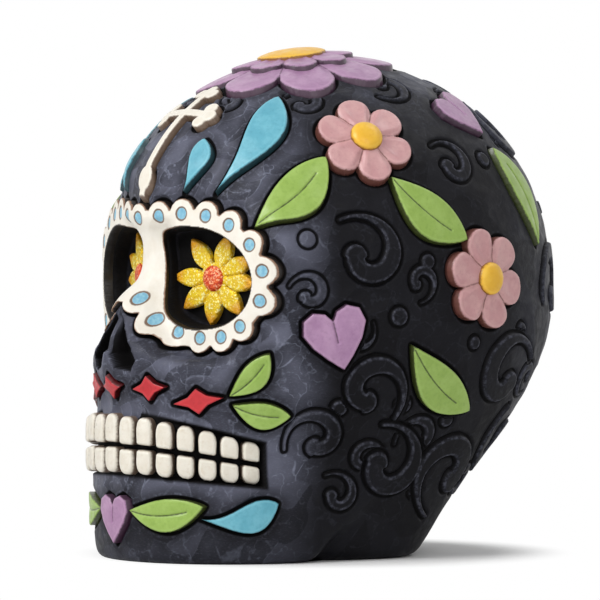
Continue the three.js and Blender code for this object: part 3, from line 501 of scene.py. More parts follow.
class Paint:
    """A short way to wire the nodes of one material."""

    def __init__(self, name):
        self.material = bpy.data.materials.new(name)
        self.material.use_nodes = True
        self.tree = self.material.node_tree
        self.shader = self.tree.nodes["Principled BSDF"]
        self.place = self.tree.nodes.new("ShaderNodeTexCoord").outputs["Object"]

    def feed(self, node, values):
        """Links or sets a node's sockets, which are named or numbered."""
        for key, value in values.items():
            if isinstance(value, bpy.types.NodeSocket):
                self.tree.links.new(value, node.inputs[key])
            else:
                node.inputs[key].default_value = value

    def set(self, **values):
        self.feed(self.shader, {key.replace("_", " "): value for key, value in values.items()})
        return self

    def fact(self, name):
        node = self.tree.nodes.new("ShaderNodeAttribute")
        node.attribute_name = name
        return node.outputs["Fac"]

    def math(self, how, *values):
        node = self.tree.nodes.new("ShaderNodeMath")
        node.operation = how
        self.feed(node, dict(enumerate(values)))
        return node.outputs[0]

    def times(self, a, b):
        return self.math("MULTIPLY", a, b)

    def plus(self, a, b):
        return self.math("ADD", a, b)

    def either(self, a, b):
        return self.math("MAXIMUM", a, b)

    def range(self, value, low, high, start=0.0, end=1.0):
        """A smooth step from start to end while the value goes from low to high."""
        node = self.tree.nodes.new("ShaderNodeMapRange")
        node.interpolation_type = "SMOOTHSTEP"
        self.feed(node, {0: value, 1: low, 2: high, 3: start, 4: end})
        return node.outputs[0]

    def noise(self, size, detail=2.0, roughness=0.5, stretch=None, offset=0.0):
        """Noise whose features are about as many millimetres across as its size."""
        node = self.tree.nodes.new("ShaderNodeTexNoise")
        node.noise_dimensions = "4D" if offset else "3D"
        place = self.place
        if stretch:
            mapping = self.tree.nodes.new("ShaderNodeMapping")
            self.feed(mapping, {"Vector": place, "Scale": stretch})
            place = mapping.outputs[0]
        self.feed(node, {"Vector": place, "Scale": 1 / (size * METRE)})
        self.feed(node, {"Detail": detail, "Roughness": roughness})
        if offset:
            node.inputs["W"].default_value = offset
        return node.outputs["Fac"]

    def cells(self, size, output):
        node = self.tree.nodes.new("ShaderNodeTexVoronoi")
        self.feed(node, {"Vector": self.place, "Scale": 1 / (size * METRE)})
        return node.outputs[output]

    def mix(self, share, a, b):
        """The first colour where the share is 0 and the second where it is 1, each as it looks or linked."""
        node = self.tree.nodes.new("ShaderNodeMix")
        node.data_type = "RGBA"
        a, b = (tone(*c) if isinstance(c, tuple) else c for c in (a, b))
        self.feed(node, {0: share, 6: a, 7: b})
        return node.outputs[2]

    def bump(self, height, depth, strength, under=None):
        """Bump from a height of 0 to 1 that stands for some depth in millimetres."""
        node = self.tree.nodes.new("ShaderNodeBump")
        self.feed(node, {"Height": height, "Distance": depth * METRE, "Strength": strength})
        if under is not None:
            self.tree.links.new(under, node.inputs["Normal"])
        return node.outputs[0]


def enamel(name, colour, pale, dark, wash, pale_share=0.55, rough=0.36):
    """Brushed enamel: uneven, painted highlights on its crests, a brown or black wash in creases and edges.
    """
    p = Paint(name)
    patches = p.range(p.noise(5, 3, 0.6), 0.35, 0.68)
    streaks = p.range(p.noise(1.1, 3, 0.7, offset=3.1), 0.45, 0.8)
    base = p.mix(p.times(patches, pale_share), colour, pale)
    base = p.mix(p.times(streaks, 0.4), base, dark)
    rough_edge = p.plus(p.fact("depth"), p.times(p.noise(0.9, 3, 0.6, offset=7.7), -0.5))
    # Painted highlight: a paler band along the rounded rim, just inside the wall.
    crest_highlight = p.times(p.range(rough_edge, 0.0, 0.2), p.range(rough_edge, 0.25, 0.7, 1, 0))
    base = p.mix(p.times(crest_highlight, 0.45), base, pale)
    edge = p.range(rough_edge, -0.32, -0.02, 1, 0)
    uneven = p.plus(p.fact("crease"), p.times(p.noise(0.7, offset=1.3), 0.25))
    worn = p.range(uneven, 0.16, 0.42, 1, 0)
    base = p.mix(p.either(p.times(edge, 0.9), p.times(worn, 0.8)), base, wash)
    grain = p.bump(p.noise(0.5, 3, 0.6), 0.05, 0.5)
    soft = p.bump(p.noise(3.2), 0.5, 0.35, under=grain)
    gloss = p.range(p.noise(2.2), 0.3, 0.7, rough - 0.07, rough + 0.1)
    p.set(Base_Color=base, Roughness=gloss, Normal=soft)
    return p.set(Coat_Weight=0.12, Coat_Roughness=0.25).material


def skull_paint():
    """Near black, with slate blue brushed over the face, fine worn lines, and grooves filled with black."""
    p = Paint("skull_slate")
    brush, ridge, facet = p.fact("brush"), p.fact("ridge"), p.fact("facet")
    motif, curl, deep = p.fact("motif"), p.fact("curl"), p.fact("deep")
    wear = p.noise(1.3, 3, 0.65)
    cloud = p.noise(9, 3, 0.6, offset=2.2)
    patch = p.range(p.plus(p.times(facet, 0.7), p.times(cloud, 1.1)), 0.5, 1.2, 0.35, 1)
    base = p.mix(p.times(brush, patch), (10, 9, 12), (104, 106, 122))
    streak = p.range(p.noise(0.8, 3, 0.7, stretch=(1, 1, 2.6), offset=5.0), 0.5, 0.75)
    base = p.mix(p.times(p.times(streak, brush), 0.45), base, (124, 128, 146))
    line = p.range(p.plus(ridge, p.times(wear, 0.5)), 0.28, 0.56, 1, 0)
    broken = p.range(p.noise(4.2, 3, 0.6, offset=9.1), 0.42, 0.66, 0.04, 0.9)
    drift = p.math("ABSOLUTE", p.math("SUBTRACT", p.noise(9, 3, 0.55, offset=3.7), 0.5))
    scratch = p.times(p.range(drift, 0.0, 0.02, 1, 0), p.range(wear, 0.4, 0.62, 0.1, 0.7))
    line = p.times(p.either(p.times(line, broken), scratch), p.range(brush, 0.05, 0.9, 0.05, 0.75))
    base = p.mix(line, base, (142, 147, 166))
    # Black wash and painted shade: the skull darkens over a few millimetres round each ornament.
    base = p.mix(p.range(motif, 1.0, 4.6, 0.55, 0), base, (18, 17, 21))
    # Grey dry brush and painted highlight: a paler lip just outside the groove round each ornament.
    lip = p.times(p.range(motif, 1.0, 1.2), p.range(motif, 1.3, 1.9, 1, 0))
    lip = p.times(lip, p.range(wear, 0.46, 0.7, 0.0, 0.5))
    base = p.mix(p.times(lip, p.range(brush, 0.1, 0.8, 0.18, 1)), base, (120, 124, 142))
    # Grey dry brush and painted highlight along the crests of the raised scrolls.
    crest_highlight = p.times(p.range(curl, -1.1, -0.5), p.range(curl, -0.35, -0.1, 1, 0))
    crest_highlight = p.times(crest_highlight, p.range(wear, 0.4, 0.68, 0.08, 0.6))
    base = p.mix(crest_highlight, base, (98, 100, 114))
    beside_curl = p.math("ABSOLUTE", p.math("SUBTRACT", curl, 0.35))
    groove = p.either(p.range(motif, 0.8, 1.1, 1, 0), p.range(beside_curl, 0.25, 0.55, 0.95, 0))
    groove = p.either(groove, deep)
    base = p.mix(groove, base, (9, 8, 9))
    rough = p.plus(p.range(p.noise(2.4, 3), 0.3, 0.7, 0.38, 0.52), p.times(groove, 0.3))
    grain = p.bump(p.noise(0.45, 3, 0.6), 0.05, 0.45)
    soft = p.bump(p.noise(2.6, offset=4.4), 0.4, 0.4, under=grain)
    return p.set(Base_Color=base, Roughness=rough, Normal=soft, Specular_IOR_Level=0.1).material


def mask_paint():
    """Cream, worn to brown at its edges, with pale blue dots in thin brown rings."""
    p = Paint("mask_cream")
    patches = p.range(p.noise(4, 3, 0.6), 0.35, 0.7)
    base = p.mix(p.times(patches, 0.5), (243, 238, 227), (232, 223, 207))
    spots = p.range(p.noise(0.7, 2, 0.6, offset=3.3), 0.68, 0.78, 0, 0.3)
    base = p.mix(spots, base, (186, 156, 120))
    uneven = p.plus(p.fact("depth"), p.times(p.noise(1.6, 3, 0.6, offset=8.1), -0.7))
    base = p.mix(p.range(uneven, -0.3, 0.04, 0.9, 0), base, (128, 82, 46))
    # The lower walls go near black, reaching unevenly up to the rim.
    base = p.mix(p.range(uneven, -0.5, -0.36, 1, 0), base, (24, 17, 13))
    shaky = p.plus(p.fact("dot"), p.times(p.noise(0.8, offset=6.2), 0.28))
    ring = p.times(p.range(shaky, 1.5, 1.62), p.range(shaky, 1.88, 2.16, 1, 0))
    base = p.mix(p.times(ring, 0.92), base, (98, 64, 36))
    blue = p.mix(p.range(p.noise(0.9), 0.35, 0.7), (118, 178, 206), (150, 200, 218))
    base = p.mix(p.range(shaky, 1.5, 1.62, 1, 0), base, blue)
    base = p.mix(p.fact("inner"), base, (18, 14, 13))
    grain = p.bump(p.noise(0.5, 3, 0.6), 0.05, 0.45)
    soft = p.bump(p.noise(2.8), 0.45, 0.35, under=grain)
    gloss = p.range(p.noise(2.2), 0.3, 0.7, 0.4, 0.54)
    return p.set(Base_Color=base, Roughness=gloss, Normal=soft).material


FLAKE = 0.42


def glitter(name, first, second, painted_glint, tip, seam):
    """Flakes of two tones with painted glints among them, another tone at the tips, and dull seams."""
    p = Paint(name)
    node = p.tree.nodes.new("ShaderNodeSeparateColor")
    p.feed(node, {"Color": p.cells(FLAKE, "Color")})
    pick, shine, lean = node.outputs
    base = p.mix(p.range(pick, 0.3, 0.6), first, second)
    # Painted glints: a few flakes turn near white, as if catching the light.
    base = p.mix(p.times(p.range(lean, 0.7, 0.85), 0.9), base, painted_glint)
    tips = p.range(p.plus(p.fact("reach"), p.times(p.noise(1.5), 2.5)), 9.5, 13.5, 0, 0.85)
    base = p.mix(tips, base, tip)
    base = p.mix(p.range(p.fact("crease"), 0.08, 0.35, 0.7, 0), base, seam)
    bumps = p.bump(pick, 0.16, 0.9, under=p.bump(p.cells(FLAKE, "Distance"), 0.2, 0.6))
    p.set(Base_Color=base, Metallic=p.range(shine, 0.6, 0.7, 0, 0.45), Normal=bumps)
    return p.set(Roughness=p.range(lean, 0.2, 0.9, 0.28, 0.55)).material


def felt_paint():
    p = Paint("underside_felt")
    fibres = p.noise(0.5, 4, 0.7)
    base = p.mix(p.range(fibres, 0.35, 0.7), (24, 24, 27), (48, 48, 52))
    return p.set(Base_Color=base, Roughness=0.95, Normal=p.bump(fibres, 0.3, 0.8), Sheen_Weight=0.4).material


def plate_paint():
    p = Paint("plate_slate")
    base = p.mix(p.range(p.noise(3, 3), 0.35, 0.7), (30, 30, 34), (52, 52, 60))
    return p.set(Base_Color=base, Roughness=0.5, Normal=p.bump(p.noise(0.6, 3), 0.08, 0.5)).material


# Each enamel: its colour, paler, darker, and the wash in its creases

CREAM = enamel("cream_enamel", (238, 231, 216), (246, 241, 230), (222, 208, 186), (96, 64, 38), rough=0.4)
TOOTH = enamel("tooth_enamel", (229, 222, 207), (242, 237, 225), (206, 188, 160), (84, 58, 38), rough=0.34)
TURQUOISE = enamel("turquoise_enamel", (92, 170, 190), (124, 196, 212), (66, 138, 160), (20, 30, 34))
GREEN = enamel("green_enamel", (146, 178, 78), (168, 198, 104), (116, 148, 52), (34, 30, 16))
PINK = enamel("pink_enamel", (200, 148, 150), (220, 176, 174), (176, 122, 126), (92, 46, 30))
PURPLE = enamel("purple_enamel", (168, 126, 164), (194, 156, 188), (136, 94, 132), (50, 28, 44))
GOLD = enamel("gold_enamel", (240, 184, 42), (250, 204, 72), (222, 154, 26), (120, 66, 20))
RED = enamel("red_enamel", (190, 26, 38), (212, 54, 60), (146, 16, 28), (46, 8, 10), pale_share=0.35)
SLATE = skull_paint()
MASK = mask_paint()
YELLOW_GLITTER = glitter(
    "yellow_glitter", (248, 214, 30), (240, 198, 24), (255, 248, 170), (238, 160, 22), (150, 92, 16)
)
RED_GLITTER = glitter(
    "red_glitter", (214, 58, 26), (236, 96, 36), (255, 184, 140), (196, 40, 24), (130, 24, 16)
)


def dress(obj, material, slot, node):
    obj.data.materials.append(material)
    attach(obj, "root")
    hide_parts(node)


def cast(name, points, quads, facts, flat_angle, material, slot):
    """A painted mesh that stands in for the solid of its name."""
    dress(new_mesh(f"{name}_cast", points, quads, facts, flat_angle), material, slot, name)


def cast_pair(name, points, quads, *rest):
    """A left piece and its mirror image."""
    cast(f"left_{name}", points, quads, *rest)
    cast(f"right_{name}", points * (-1, 1, 1), quads[:, ::-1], *rest)


# Ornaments. What the skull is carved round is listed with its seat, outline, reach and kind

CARVED = []
# How deep an ornament's wall ends under the skin, and a distance that stands for far off
SUNK, FAR = -1.3, 9.0


def piece(name, slot, material, seat, distance, half, cell, height, crease=None, pair=False, floor=SUNK):
    """An ornament or a mirrored pair, with the skull carved round it unless it stands on another one."""
    points, quads, u, v, depth = relief(seat.on_skin, distance, -half, half, cell, height, floor)
    facts = {"depth": depth, "crease": crease(u, v) if crease else np.full(len(u), FAR)}
    make = cast_pair if pair else cast
    make(name, points, quads, facts, 50, material, slot)
    if floor == SUNK:
        CARVED.append((seat, distance, half.max() + 4, "motif"))


def petal_crease(petals, reach):
    """The distance to cuts of some reach that run out from the middle between the petals."""

    def crease(u, v):
        r = np.hypot(u, v)
        angle = np.arctan2(u, v) + math.pi / petals
        off = np.abs((angle * petals / math.tau + 0.5) % 1 - 0.5) * math.tau / petals * r
        return np.maximum(off, r - reach)

    return crease


def petal_height(thick, petals, radius):
    """Petals that fall away to the creases between them and cup a little in their middles."""

    def height(u, v, depth):
        r = np.hypot(u, v)
        angle = np.arctan2(u, v)
        lobe = np.abs(np.cos(petals * angle / 2))
        base = dome(thick, 0.45, 0.75)(u, v, depth)
        valley = (1 - step(0, 0.75, lobe)) * step(0.2, 0.5, r / radius)
        hollow = bell((r / radius - 0.62) / 0.2) * step(0.5, 1, lobe)
        return base * (1 - 0.42 * valley) - 0.35 * hollow

    return height


def blossom(name, seat, radius, petals, thick, slot, material, pair=False):
    outline = loop_distance(blossom_loop(radius, petals))
    half = np.array((radius, radius)) + 0.5
    height = petal_height(thick + 0.3, petals, radius)
    crease = petal_crease(petals, radius * 0.62)
    piece(name, slot, material, seat, outline, half, 0.28, height, crease, pair)


def button(name, seat, radius, low, thick, pair=False):
    half = np.array((radius, radius)) + 0.3
    height = lambda u, v, depth: low + thick * rounding(depth, radius * 0.8)
    piece(name, "gold", GOLD, seat, disc_distance(radius), half, 0.25, height, pair=pair, floor=low - 1.6)


def leaf_piece(name, seat, length, half_width):
    outline = loop_distance(leaf_loop(length, half_width, 1.15, 0.08))
    t = np.linspace(0.04, 0.8, 14)
    middle = 0.08 * length * (1 - (2 * t - 1) ** 2)
    rib = stroke_distance(np.stack((middle, length * (t - 0.5)), 1), np.zeros(14))

    def height(u, v, depth):
        side = rib(u, v)
        return dome(1.35, 0.4, 0.75)(u, v, depth) - 0.35 * bell(side / 0.3) - 0.12 * step(2.5, 0.4, side)

    half = np.array((half_width + 0.1 * length, length / 2)) + 0.6
    piece(name, "green", GREEN, seat, outline, half, 0.22, height, rib, True)


def drop_piece(name, seat, length, half_width):
    outline = loop_distance(leaf_loop(length, half_width, 1.8, 0.12))
    half = np.array((half_width + 0.14 * length, length / 2)) + 0.6
    piece(name, "turquoise", TURQUOISE, seat, outline, half, 0.22, dome(1.3, 0.4, 0.75), pair=True)


def heart_piece(name, seat, radius, pair=True):
    outline = loop_distance(heart_loop(radius))
    cut = stroke_distance(np.array(((0, 0.45), (0, -0.15))) * radius, np.zeros(2))
    half = np.array((radius, radius)) + 0.6
    height = lambda u, v, depth: dome(1.4, 0.45, 0.75)(u, v, depth) - 0.45 * bell(cut(u, v) / 0.35)
    piece(name, "purple", PURPLE, seat, outline, half, 0.22, height, cut, pair)


def diamond_piece(name, seat, half_width, pair=True):
    half = np.array((half_width, DIAMOND_HALF_HEIGHT)) + 0.5
    outline = loop_distance(diamond_loop(half_width))
    piece(name, "red", RED, seat, outline, half, 0.18, dome(1.0, 0.35, 0.75), pair=pair)


temple = seat_on(0.205, 0.135, 0.02)
rear = seat_on(0.31, 0.03, 0.04)
nape = seat_on(0.5, 0.04, 0)
crown = seat_on(0, 0.23, 0.0625)
blossom("temple_blossom_petals", temple, 12.5, 6, 1.7, "pink", PINK, pair=True)
blossom("rear_blossom_petals", rear, 13, 6, 1.7, "pink", PINK, pair=True)
blossom("nape_blossom_petals", nape, 12, 6, 1.7, "purple", PURPLE)
blossom("crown_petals", crown, 26, 8, 1.1, "purple", PURPLE)
button("temple_blossom_button", temple, 4.2, 2.2, 1.7, pair=True)
button("rear_blossom_button", rear, 4.2, 2.2, 1.7, pair=True)
button("nape_blossom_button", nape, 4.2, 2.2, 1.7)
inner = loop_distance(blossom_loop(16, 8))
inner_height = petal_height(1.2, 8, 16)
piece("crown_inner_petals", "purple", PURPLE, crown, inner, np.array((16.5, 16.5)), 0.28,
      lambda u, v, d: 1.3 + inner_height(u, v, d), petal_crease(8, 10), floor=0.4)
button("crown_button", crown, 8.9, 2.7, 1.0)

for name, seat, length, half_width in (
    ("temple_leaf_front", (0.135, 0.092, -0.13), 26.2, 6),
    ("temple_leaf_back", (0.259, 0.0845, -0.36), 26.2, 6),
    ("rear_leaf_upper", (0.375, 0.085, 0.05), 28, 5.6),
    ("rear_leaf_lower", (0.272, -0.05, -0.36), 28, 5.6),
    ("cheek_leaf_upper", (0.106, -0.04, -0.12), 15, 3.4),
    ("cheek_leaf_lower", (0.112, -0.068, -0.28), 15, 3.4),
    ("jaw_leaf", (0.046, -0.107, -0.24), 22, 4.2),
):
    leaf_piece(name, seat_on(*seat), length, half_width)
drop_piece("brow_drop", seat_on(0.088, 0.128, -0.06), 32, 5)
drop_piece("short_drop", seat_on(0.047, 0.106, -0.03), 15, 3.2)
drop_piece("jaw_drop", seat_on(0.098, -0.117, -0.22), 20, 3.8)
heart_piece("side_heart", seat_on(0.172, -0.014, 0.04), 8.5)
heart_piece("crown_heart", seat_on(0.36, 0.15, 0.06), 8)
heart_piece("chin_heart", seat_on(0, -0.11, 0), 6.6, pair=False)
diamond_piece("center_lip_diamond", seat_on(0, -0.043, 0), 4, pair=False)
diamond_piece("inner_lip_diamond", seat_on(0.033, -0.045, 0.01), 5.3)
diamond_piece("outer_lip_diamond", seat_on(0.069, -0.055, 0.02), 6.6)
piece("forehead_cross", "cream", CREAM, seat_on(0, 0.1446, 0), cross_distance, np.array((12.8, 24.2)), 0.2,
      dome(1.35, 0.4, 0.75))

# Eye mask, made as one half that stops at the middle plane and its mirror image


def mask_slope(u, v):
    """How far the mask has sunk where it slopes down into the opening beside the nose, from 0 to 1."""
    return step(0.4, 0.85, -u / EYE_HALF[0]) * (1 - np.clip((EYE_OPENING(u, v) - 0.4) / 3.4, 0, 1))


def mask_height(u, v, depth):
    dimple = 0.16 * step(1.9, 1.5, dot_distance(u, v))
    return dome(1.6, 0.35, 0.8)(u, v, depth) * (1 - 0.8 * mask_slope(u, v)) - dimple


def make_mask():
    plan = relief(EYE.on_skin, mask_distance, (-24.5, -19), (24.5, 20.5), 0.22, mask_height, SUNK)
    points, quads, u, v, depth = plan
    used, quads = np.unique(quads[(points[quads, 0] > 0).any(1)], return_inverse=True)
    quads = quads.reshape(-1, 4)
    points, u, v, depth = points[used], u[used], v[used], depth[used]
    points[:, 0] = np.maximum(points[:, 0], 0)
    inner_wall = step(1.0, 0.6, EYE_OPENING(u, v)) * (depth < 0.3) * (1 - mask_slope(u, v))
    facts = {"depth": depth, "dot": dot_distance(u, v), "inner": inner_wall}
    points = np.concatenate((points, points * (-1, 1, 1)))
    quads = np.concatenate((quads, quads[:, ::-1] + len(used)))
    cast("eye_mask", points, quads, {key: np.tile(fact, 2) for key, fact in facts.items()}, 40, MASK, "cream")
    CARVED.append((EYE, mask_distance, 32, "motif"))


make_mask()

# Eye flowers, on the floors of the eyes

FLOWER_DEPTH, SOCKET_DEPTH = 6.0, 6.05
FLOWER_U, FLOWER_V, FLOWER_SQUASH = 0.9, 0.3, 0.88
PETAL = leaf_loop(10.6, 2.75, 0.85, 0) + (0, 8.4)
PETAL_TURNS = np.radians((21, 64, 97, 140, 185, 229, 271, 326))
PETALS = [
    loop_distance(PETAL @ np.array(((math.cos(a), -math.sin(a)), (math.sin(a), math.cos(a)))))
    for a in PETAL_TURNS
]


def on_floor(u, v, lift):
    return EYE.plane(u - FLOWER_U, v - FLOWER_V, lift - FLOWER_DEPTH)


def eye_petal_distances(u, v):
    """The distances to the nearest two petals."""
    return np.sort([petal(u, v / FLOWER_SQUASH) * 0.94 for petal in PETALS], axis=0)[:2]


def eye_petal_distance(u, v):
    """Almond petals round a small disc, squashed a little and kept clear of the opening's wall."""
    flower = np.minimum(eye_petal_distances(u, v)[0], np.hypot(u, v / FLOWER_SQUASH) - 4.6)
    return np.maximum(flower, EYE_OPENING(u - FLOWER_U, v - FLOWER_V) + 0.35)


def petal_seams(u, v):
    """The distance to the seams where two petals meet."""
    first, second = eye_petal_distances(u, v)
    return np.maximum(second - first, 0) + np.maximum(second, 0) * 0.5


def eye_petal_height(u, v, depth):
    return 0.3 + dome(1.5, 0.9, 0.6)(u, v, depth) - 0.4 * bell(petal_seams(u, v) / 0.5)


def bead_height(u, v, depth):
    return 1.8 + 1.2 * rounding(depth, 2.6)


def make_eye_flowers():
    plan = relief(on_floor, eye_petal_distance, (-13, -12), (13, 12), 0.22, eye_petal_height, 0.1)
    points, quads, u, v, depth = plan
    facts = {"depth": depth, "crease": petal_seams(u, v), "reach": np.hypot(u / 1.024, v / 0.89)}
    cast_pair("eye_petals", points, quads, facts, 55, YELLOW_GLITTER, "glitter_yellow")
    plan = relief(on_floor, disc_distance(3.3), (-3.6, -3.6), (3.6, 3.6), 0.2, bead_height, 1.0)
    points, quads, u, v, depth = plan
    facts = {"depth": depth + 3, "crease": np.full(len(u), FAR), "reach": np.zeros(len(u))}
    cast_pair("eye_bead", points, quads, facts, 60, RED_GLITTER, "glitter_red")


make_eye_flowers()

# Teeth, side by side on an arch


def bite(angle):
    """The height of the lower edge of the upper teeth."""
    return 30.3 - 5.5 * (1 - np.cos(angle))


def row_height(tall, angle):
    """How tall the teeth of a row are, which differs between its front and its ends."""
    return tall[0] + (tall[1] - tall[0]) * (1 - np.cos(angle))


def on_arch(u, v, lift):
    angle, radius = u / ARCH, ARCH - 3.4 + lift
    return np.stack((radius * np.sin(angle), -ARCH_AHEAD - radius * np.cos(angle), v), -1)


def tooth_row(name, tall, way, low, high):
    """A row whose teeth grow up from the bite, for a way of 1, or down, for -1."""
    pitch = 2 * TEETH_HALF_SPAN / TOOTH_COUNT
    centers = (np.arange(TOOTH_COUNT) - (TOOTH_COUNT - 1) / 2) * pitch

    def local(u, v):
        i = np.clip(np.floor(u / ARCH / pitch + TOOTH_COUNT / 2), 0, TOOTH_COUNT - 1).astype(int)
        angle = centers[i]
        half = row_height(tall, angle) / 2
        middle = bite(angle) + half if way > 0 else bite(angle) - BITE_GAP - half
        lean = (bite(angle + 0.01) - bite(angle - 0.01)) / 0.02 / ARCH
        across = u - angle * ARCH
        along = v - middle - lean * across + 0.16 * np.sin(angle * 53)
        return across, along, half, angle

    def distance(u, v):
        across, along, half, angle = local(u, v)
        crown = along / half * way
        wide = pitch * ARCH / 2 - 0.42 - 0.42 * step(0.1, 1, crown)
        wide = wide - 0.12 * step(0, 1, -crown) - 0.12 * np.sin(angle * 71) ** 2
        corner = np.where(crown > 0, 1.5, 0.8)
        a = np.abs(across) - wide + corner
        b = np.abs(along) - half + 0.15 + corner
        return np.minimum(np.maximum(a, b), 0) + np.hypot(np.maximum(a, 0), np.maximum(b, 0)) - corner

    def height(u, v, depth):
        _, along, half, _ = local(u, v)
        return 2.1 + 1.15 * rounding(depth, 0.9) - 0.3 * step(0, 1.1, along / half * way)

    span = TEETH_HALF_SPAN * ARCH
    points, quads, u, v, depth = relief(on_arch, distance, (-span, low), (span, high), 0.24, height, 0)
    cast(name, points, quads, {"depth": depth, "crease": np.full(len(u), FAR)}, 55, TOOTH, "cream")


tooth_row("upper_teeth", UPPER_TALL, 1, 24, 39)
tooth_row("lower_teeth", LOWER_TALL, -1, 16.5, 30.5)

# Scrolls and dots raised from the skull in its own colour: turn, rise and tilt, then size

BOLD = [
    (0.198, 0.05, 0.1, 0.8), (0.203, -0.058, 0.62, -0.8), (0.157, -0.095, 0.3, 0.64),
    (0.232, -0.122, 0.05, 0.85), (0.318, -0.125, 0.45, 0.95), (0.345, -0.045, 0.8, -0.9),
    (0.4, -0.1, 0.1, -0.9), (0.425, 0.02, 0.3, 0.95), (0.43, 0.13, 0.1, -0.85),
]
SMALL = [
    (0.152, 0.02, 0.2, 0.42), (0.245, 0.03, 0.5, -0.4), (0.262, -0.1, 0.3, 0.5),
    (0.205, -0.115, 0.7, -0.42), (0.3, 0.115, 0.12, 0.55), (0.28, 0.185, 0.35, -0.5),
    (0.14, 0.165, 0.22, 0.45), (0.045, 0.16, 0.05, -0.4), (0.385, -0.045, 0.6, 0.45),
    (0.36, -0.13, 0.2, -0.5), (0.46, -0.06, 0.55, 0.5), (0.44, -0.145, 0.3, -0.5),
    (0.47, 0.17, 0.6, 0.45), (0.39, 0.165, 0.3, -0.45), (0.19, -0.012, 0.85, 0.36),
    (0.178, -0.135, 0.1, 0.45),
]
RAISED_DOTS = [
    (0.15, 0.058, 2.2), (0.252, 0.045, 2), (0.345, 0.115, 2.2), (0.225, 0.002, 2.4), (0.3, -0.02, 1.8),
    (0.355, -0.01, 2), (0.237, -0.072, 2.4), (0.29, -0.085, 2), (0.275, -0.14, 2.2), (0.44, 0.07, 2),
    (0.5, 0.115, 2.4), (0.5, -0.045, 2.4), (0.5, -0.125, 2.2), (0.395, 0.125, 2), (0.235, 0.205, 2),
    (0.176, -0.072, 2.2),
]
for kind, scrolls in (("bold", BOLD), ("curl", SMALL)):
    for turn, rise, tilt, size in scrolls:
        CARVED.append((seat_on(turn, rise, tilt), *scroll(size), kind))
for turn, rise, radius in RAISED_DOTS:
    CARVED.append((seat_on(turn, rise, 0), disc_distance(radius), radius + 3, "curl"))

# The skull, as rings of points round an axis up to its heart and a dome of rings above it

SECTORS, LEVELS, DOMES = 1000, 168, 290
LEDGE, LEDGE_HEIGHT = (24.3, 27.3), 4.2


def axis_point(height):
    return np.array((0, -(22 - 14 * min(height / HEART[2], 1)), height))


def skull_grid():
    turn = np.arange(SECTORS) * math.tau / SECTORS
    angle = turn - 0.2 * np.sin(turn)
    flat = np.stack((np.sin(angle), -np.cos(angle), np.zeros(SECTORS)), 1)
    heights = [0, 0.15, 0.4, 0.8, 1.3, 1.9, *np.linspace(FOOT_EDGE, HEART[2], LEVELS)]
    starts = [np.broadcast_to(axis_point(max(h, 0.025)), flat.shape) for h in heights]
    rays_out = [flat] * len(heights)
    for i in range(1, DOMES):
        tilt = math.pi / 2 * i / DOMES
        starts.append(np.broadcast_to(axis_point(HEART[2]), flat.shape))
        rays_out.append(flat * math.cos(tilt) + np.array((0, 0, math.sin(tilt))))
    grid = reach_skin(np.array(starts), np.array(rays_out), TOP)
    grid[0, :, 2] = 0
    return grid, angle


def grid_normals(grid):
    up = np.gradient(grid, axis=0)
    around = np.roll(grid, -1, 1) - np.roll(grid, 1, 1)
    normal = np.cross(around, up)
    return normal / np.maximum(np.linalg.norm(normal, axis=-1, keepdims=True), 1e-9)


def wander(p, size, seed):
    """A gentle wandering of points by a few waves."""
    waves = np.random.default_rng(seed)
    out = np.zeros_like(p)
    for _ in range(7):
        ray = waves.normal(size=3)
        ray *= waves.uniform(0.6, 1.6) / size / np.linalg.norm(ray)
        out += np.sin(p @ ray * math.tau + waves.uniform(0, math.tau))[..., None] * waves.normal(size=3)
    return out / 3


def front_share(p):
    """How strongly the dry brush has touched the skull: most on the face, least behind the cheeks."""
    x, y, z = np.abs(p[..., 0]), p[..., 1], p[..., 2]
    # The face's share falls toward the chin, so it is darker towards the bottom, and a little near the top of
    # the face.
    face = step(-14, -34, y + 0.25 * (x - 20)) * (1 - 0.7 * step(27, 10, z)) * (1 - 0.14 * step(78, 98, z))
    crown_share = 0.45 * step(84, 114, z) * step(45, 15, x)
    back = 0.2 * step(20, 50, y)
    return np.clip(np.maximum(np.maximum(face, crown_share), np.maximum(back, 0.04)), 0, 1)


def facet_middles(p, weight, brush):
    """Random places on the skull that keep some distance from each other, less where it is brushed."""
    spread = 4.6 + 4.0 * (1 - brush)
    order = RANDOM.choice(len(p), 9000, replace=False, p=weight / weight.sum())
    chosen = np.empty((0, 3))
    for i in order:
        if not len(chosen) or np.min(np.sum((chosen - p[i]) ** 2, 1)) > spread[i] ** 2:
            chosen = np.vstack((chosen, p[i]))
    return chosen


def facets(p, weight, brush):
    """Each point's distance squared to its facet's middle, distance to the nearest border, and tone."""
    middles = facet_middles(p, weight, brush)
    tones = RANDOM.uniform(0, 1, len(middles))
    warped = p + 2.2 * wander(p, 12.0, 5)
    bent = middles + 2.2 * wander(middles, 12.0, 5)
    middle, border, shade = np.empty((3, len(p)))
    for start in range(0, len(p), 20000):
        part = slice(start, start + 20000)
        q = warped[part]
        far = (q * q).sum(1)[:, None] - 2 * q @ bent.T + (bent * bent).sum(1)
        rows = np.arange(len(q))
        first = far.argmin(1)
        near = far[rows, first].copy()
        far[rows, first] = np.inf
        second = far.argmin(1)
        gap = np.linalg.norm(bent[first] - bent[second], axis=1)
        middle[part] = near
        border[part] = (far[rows, second] - near) / (2 * gap)
        shade[part] = tones[first]
    return middle, border, shade


def carve_distance(p, kind):
    """The least signed distance to the outlines of one kind, for points on the skin."""
    near = np.full(len(p), FAR)
    q = np.concatenate((np.abs(p[:, :1]), p[:, 1:]), 1)
    for seat, distance, reach, what in CARVED:
        if what != kind:
            continue
        u, v, w = seat.places(q)
        here = np.flatnonzero((np.abs(u) < reach) & (np.abs(v) < reach) & (np.abs(w) < 11))
        near[here] = np.minimum(near[here], distance(u[here], v[here]))
    return near


# The nose opening and one nostril: places across, then down from its tip, as shares of its height and width

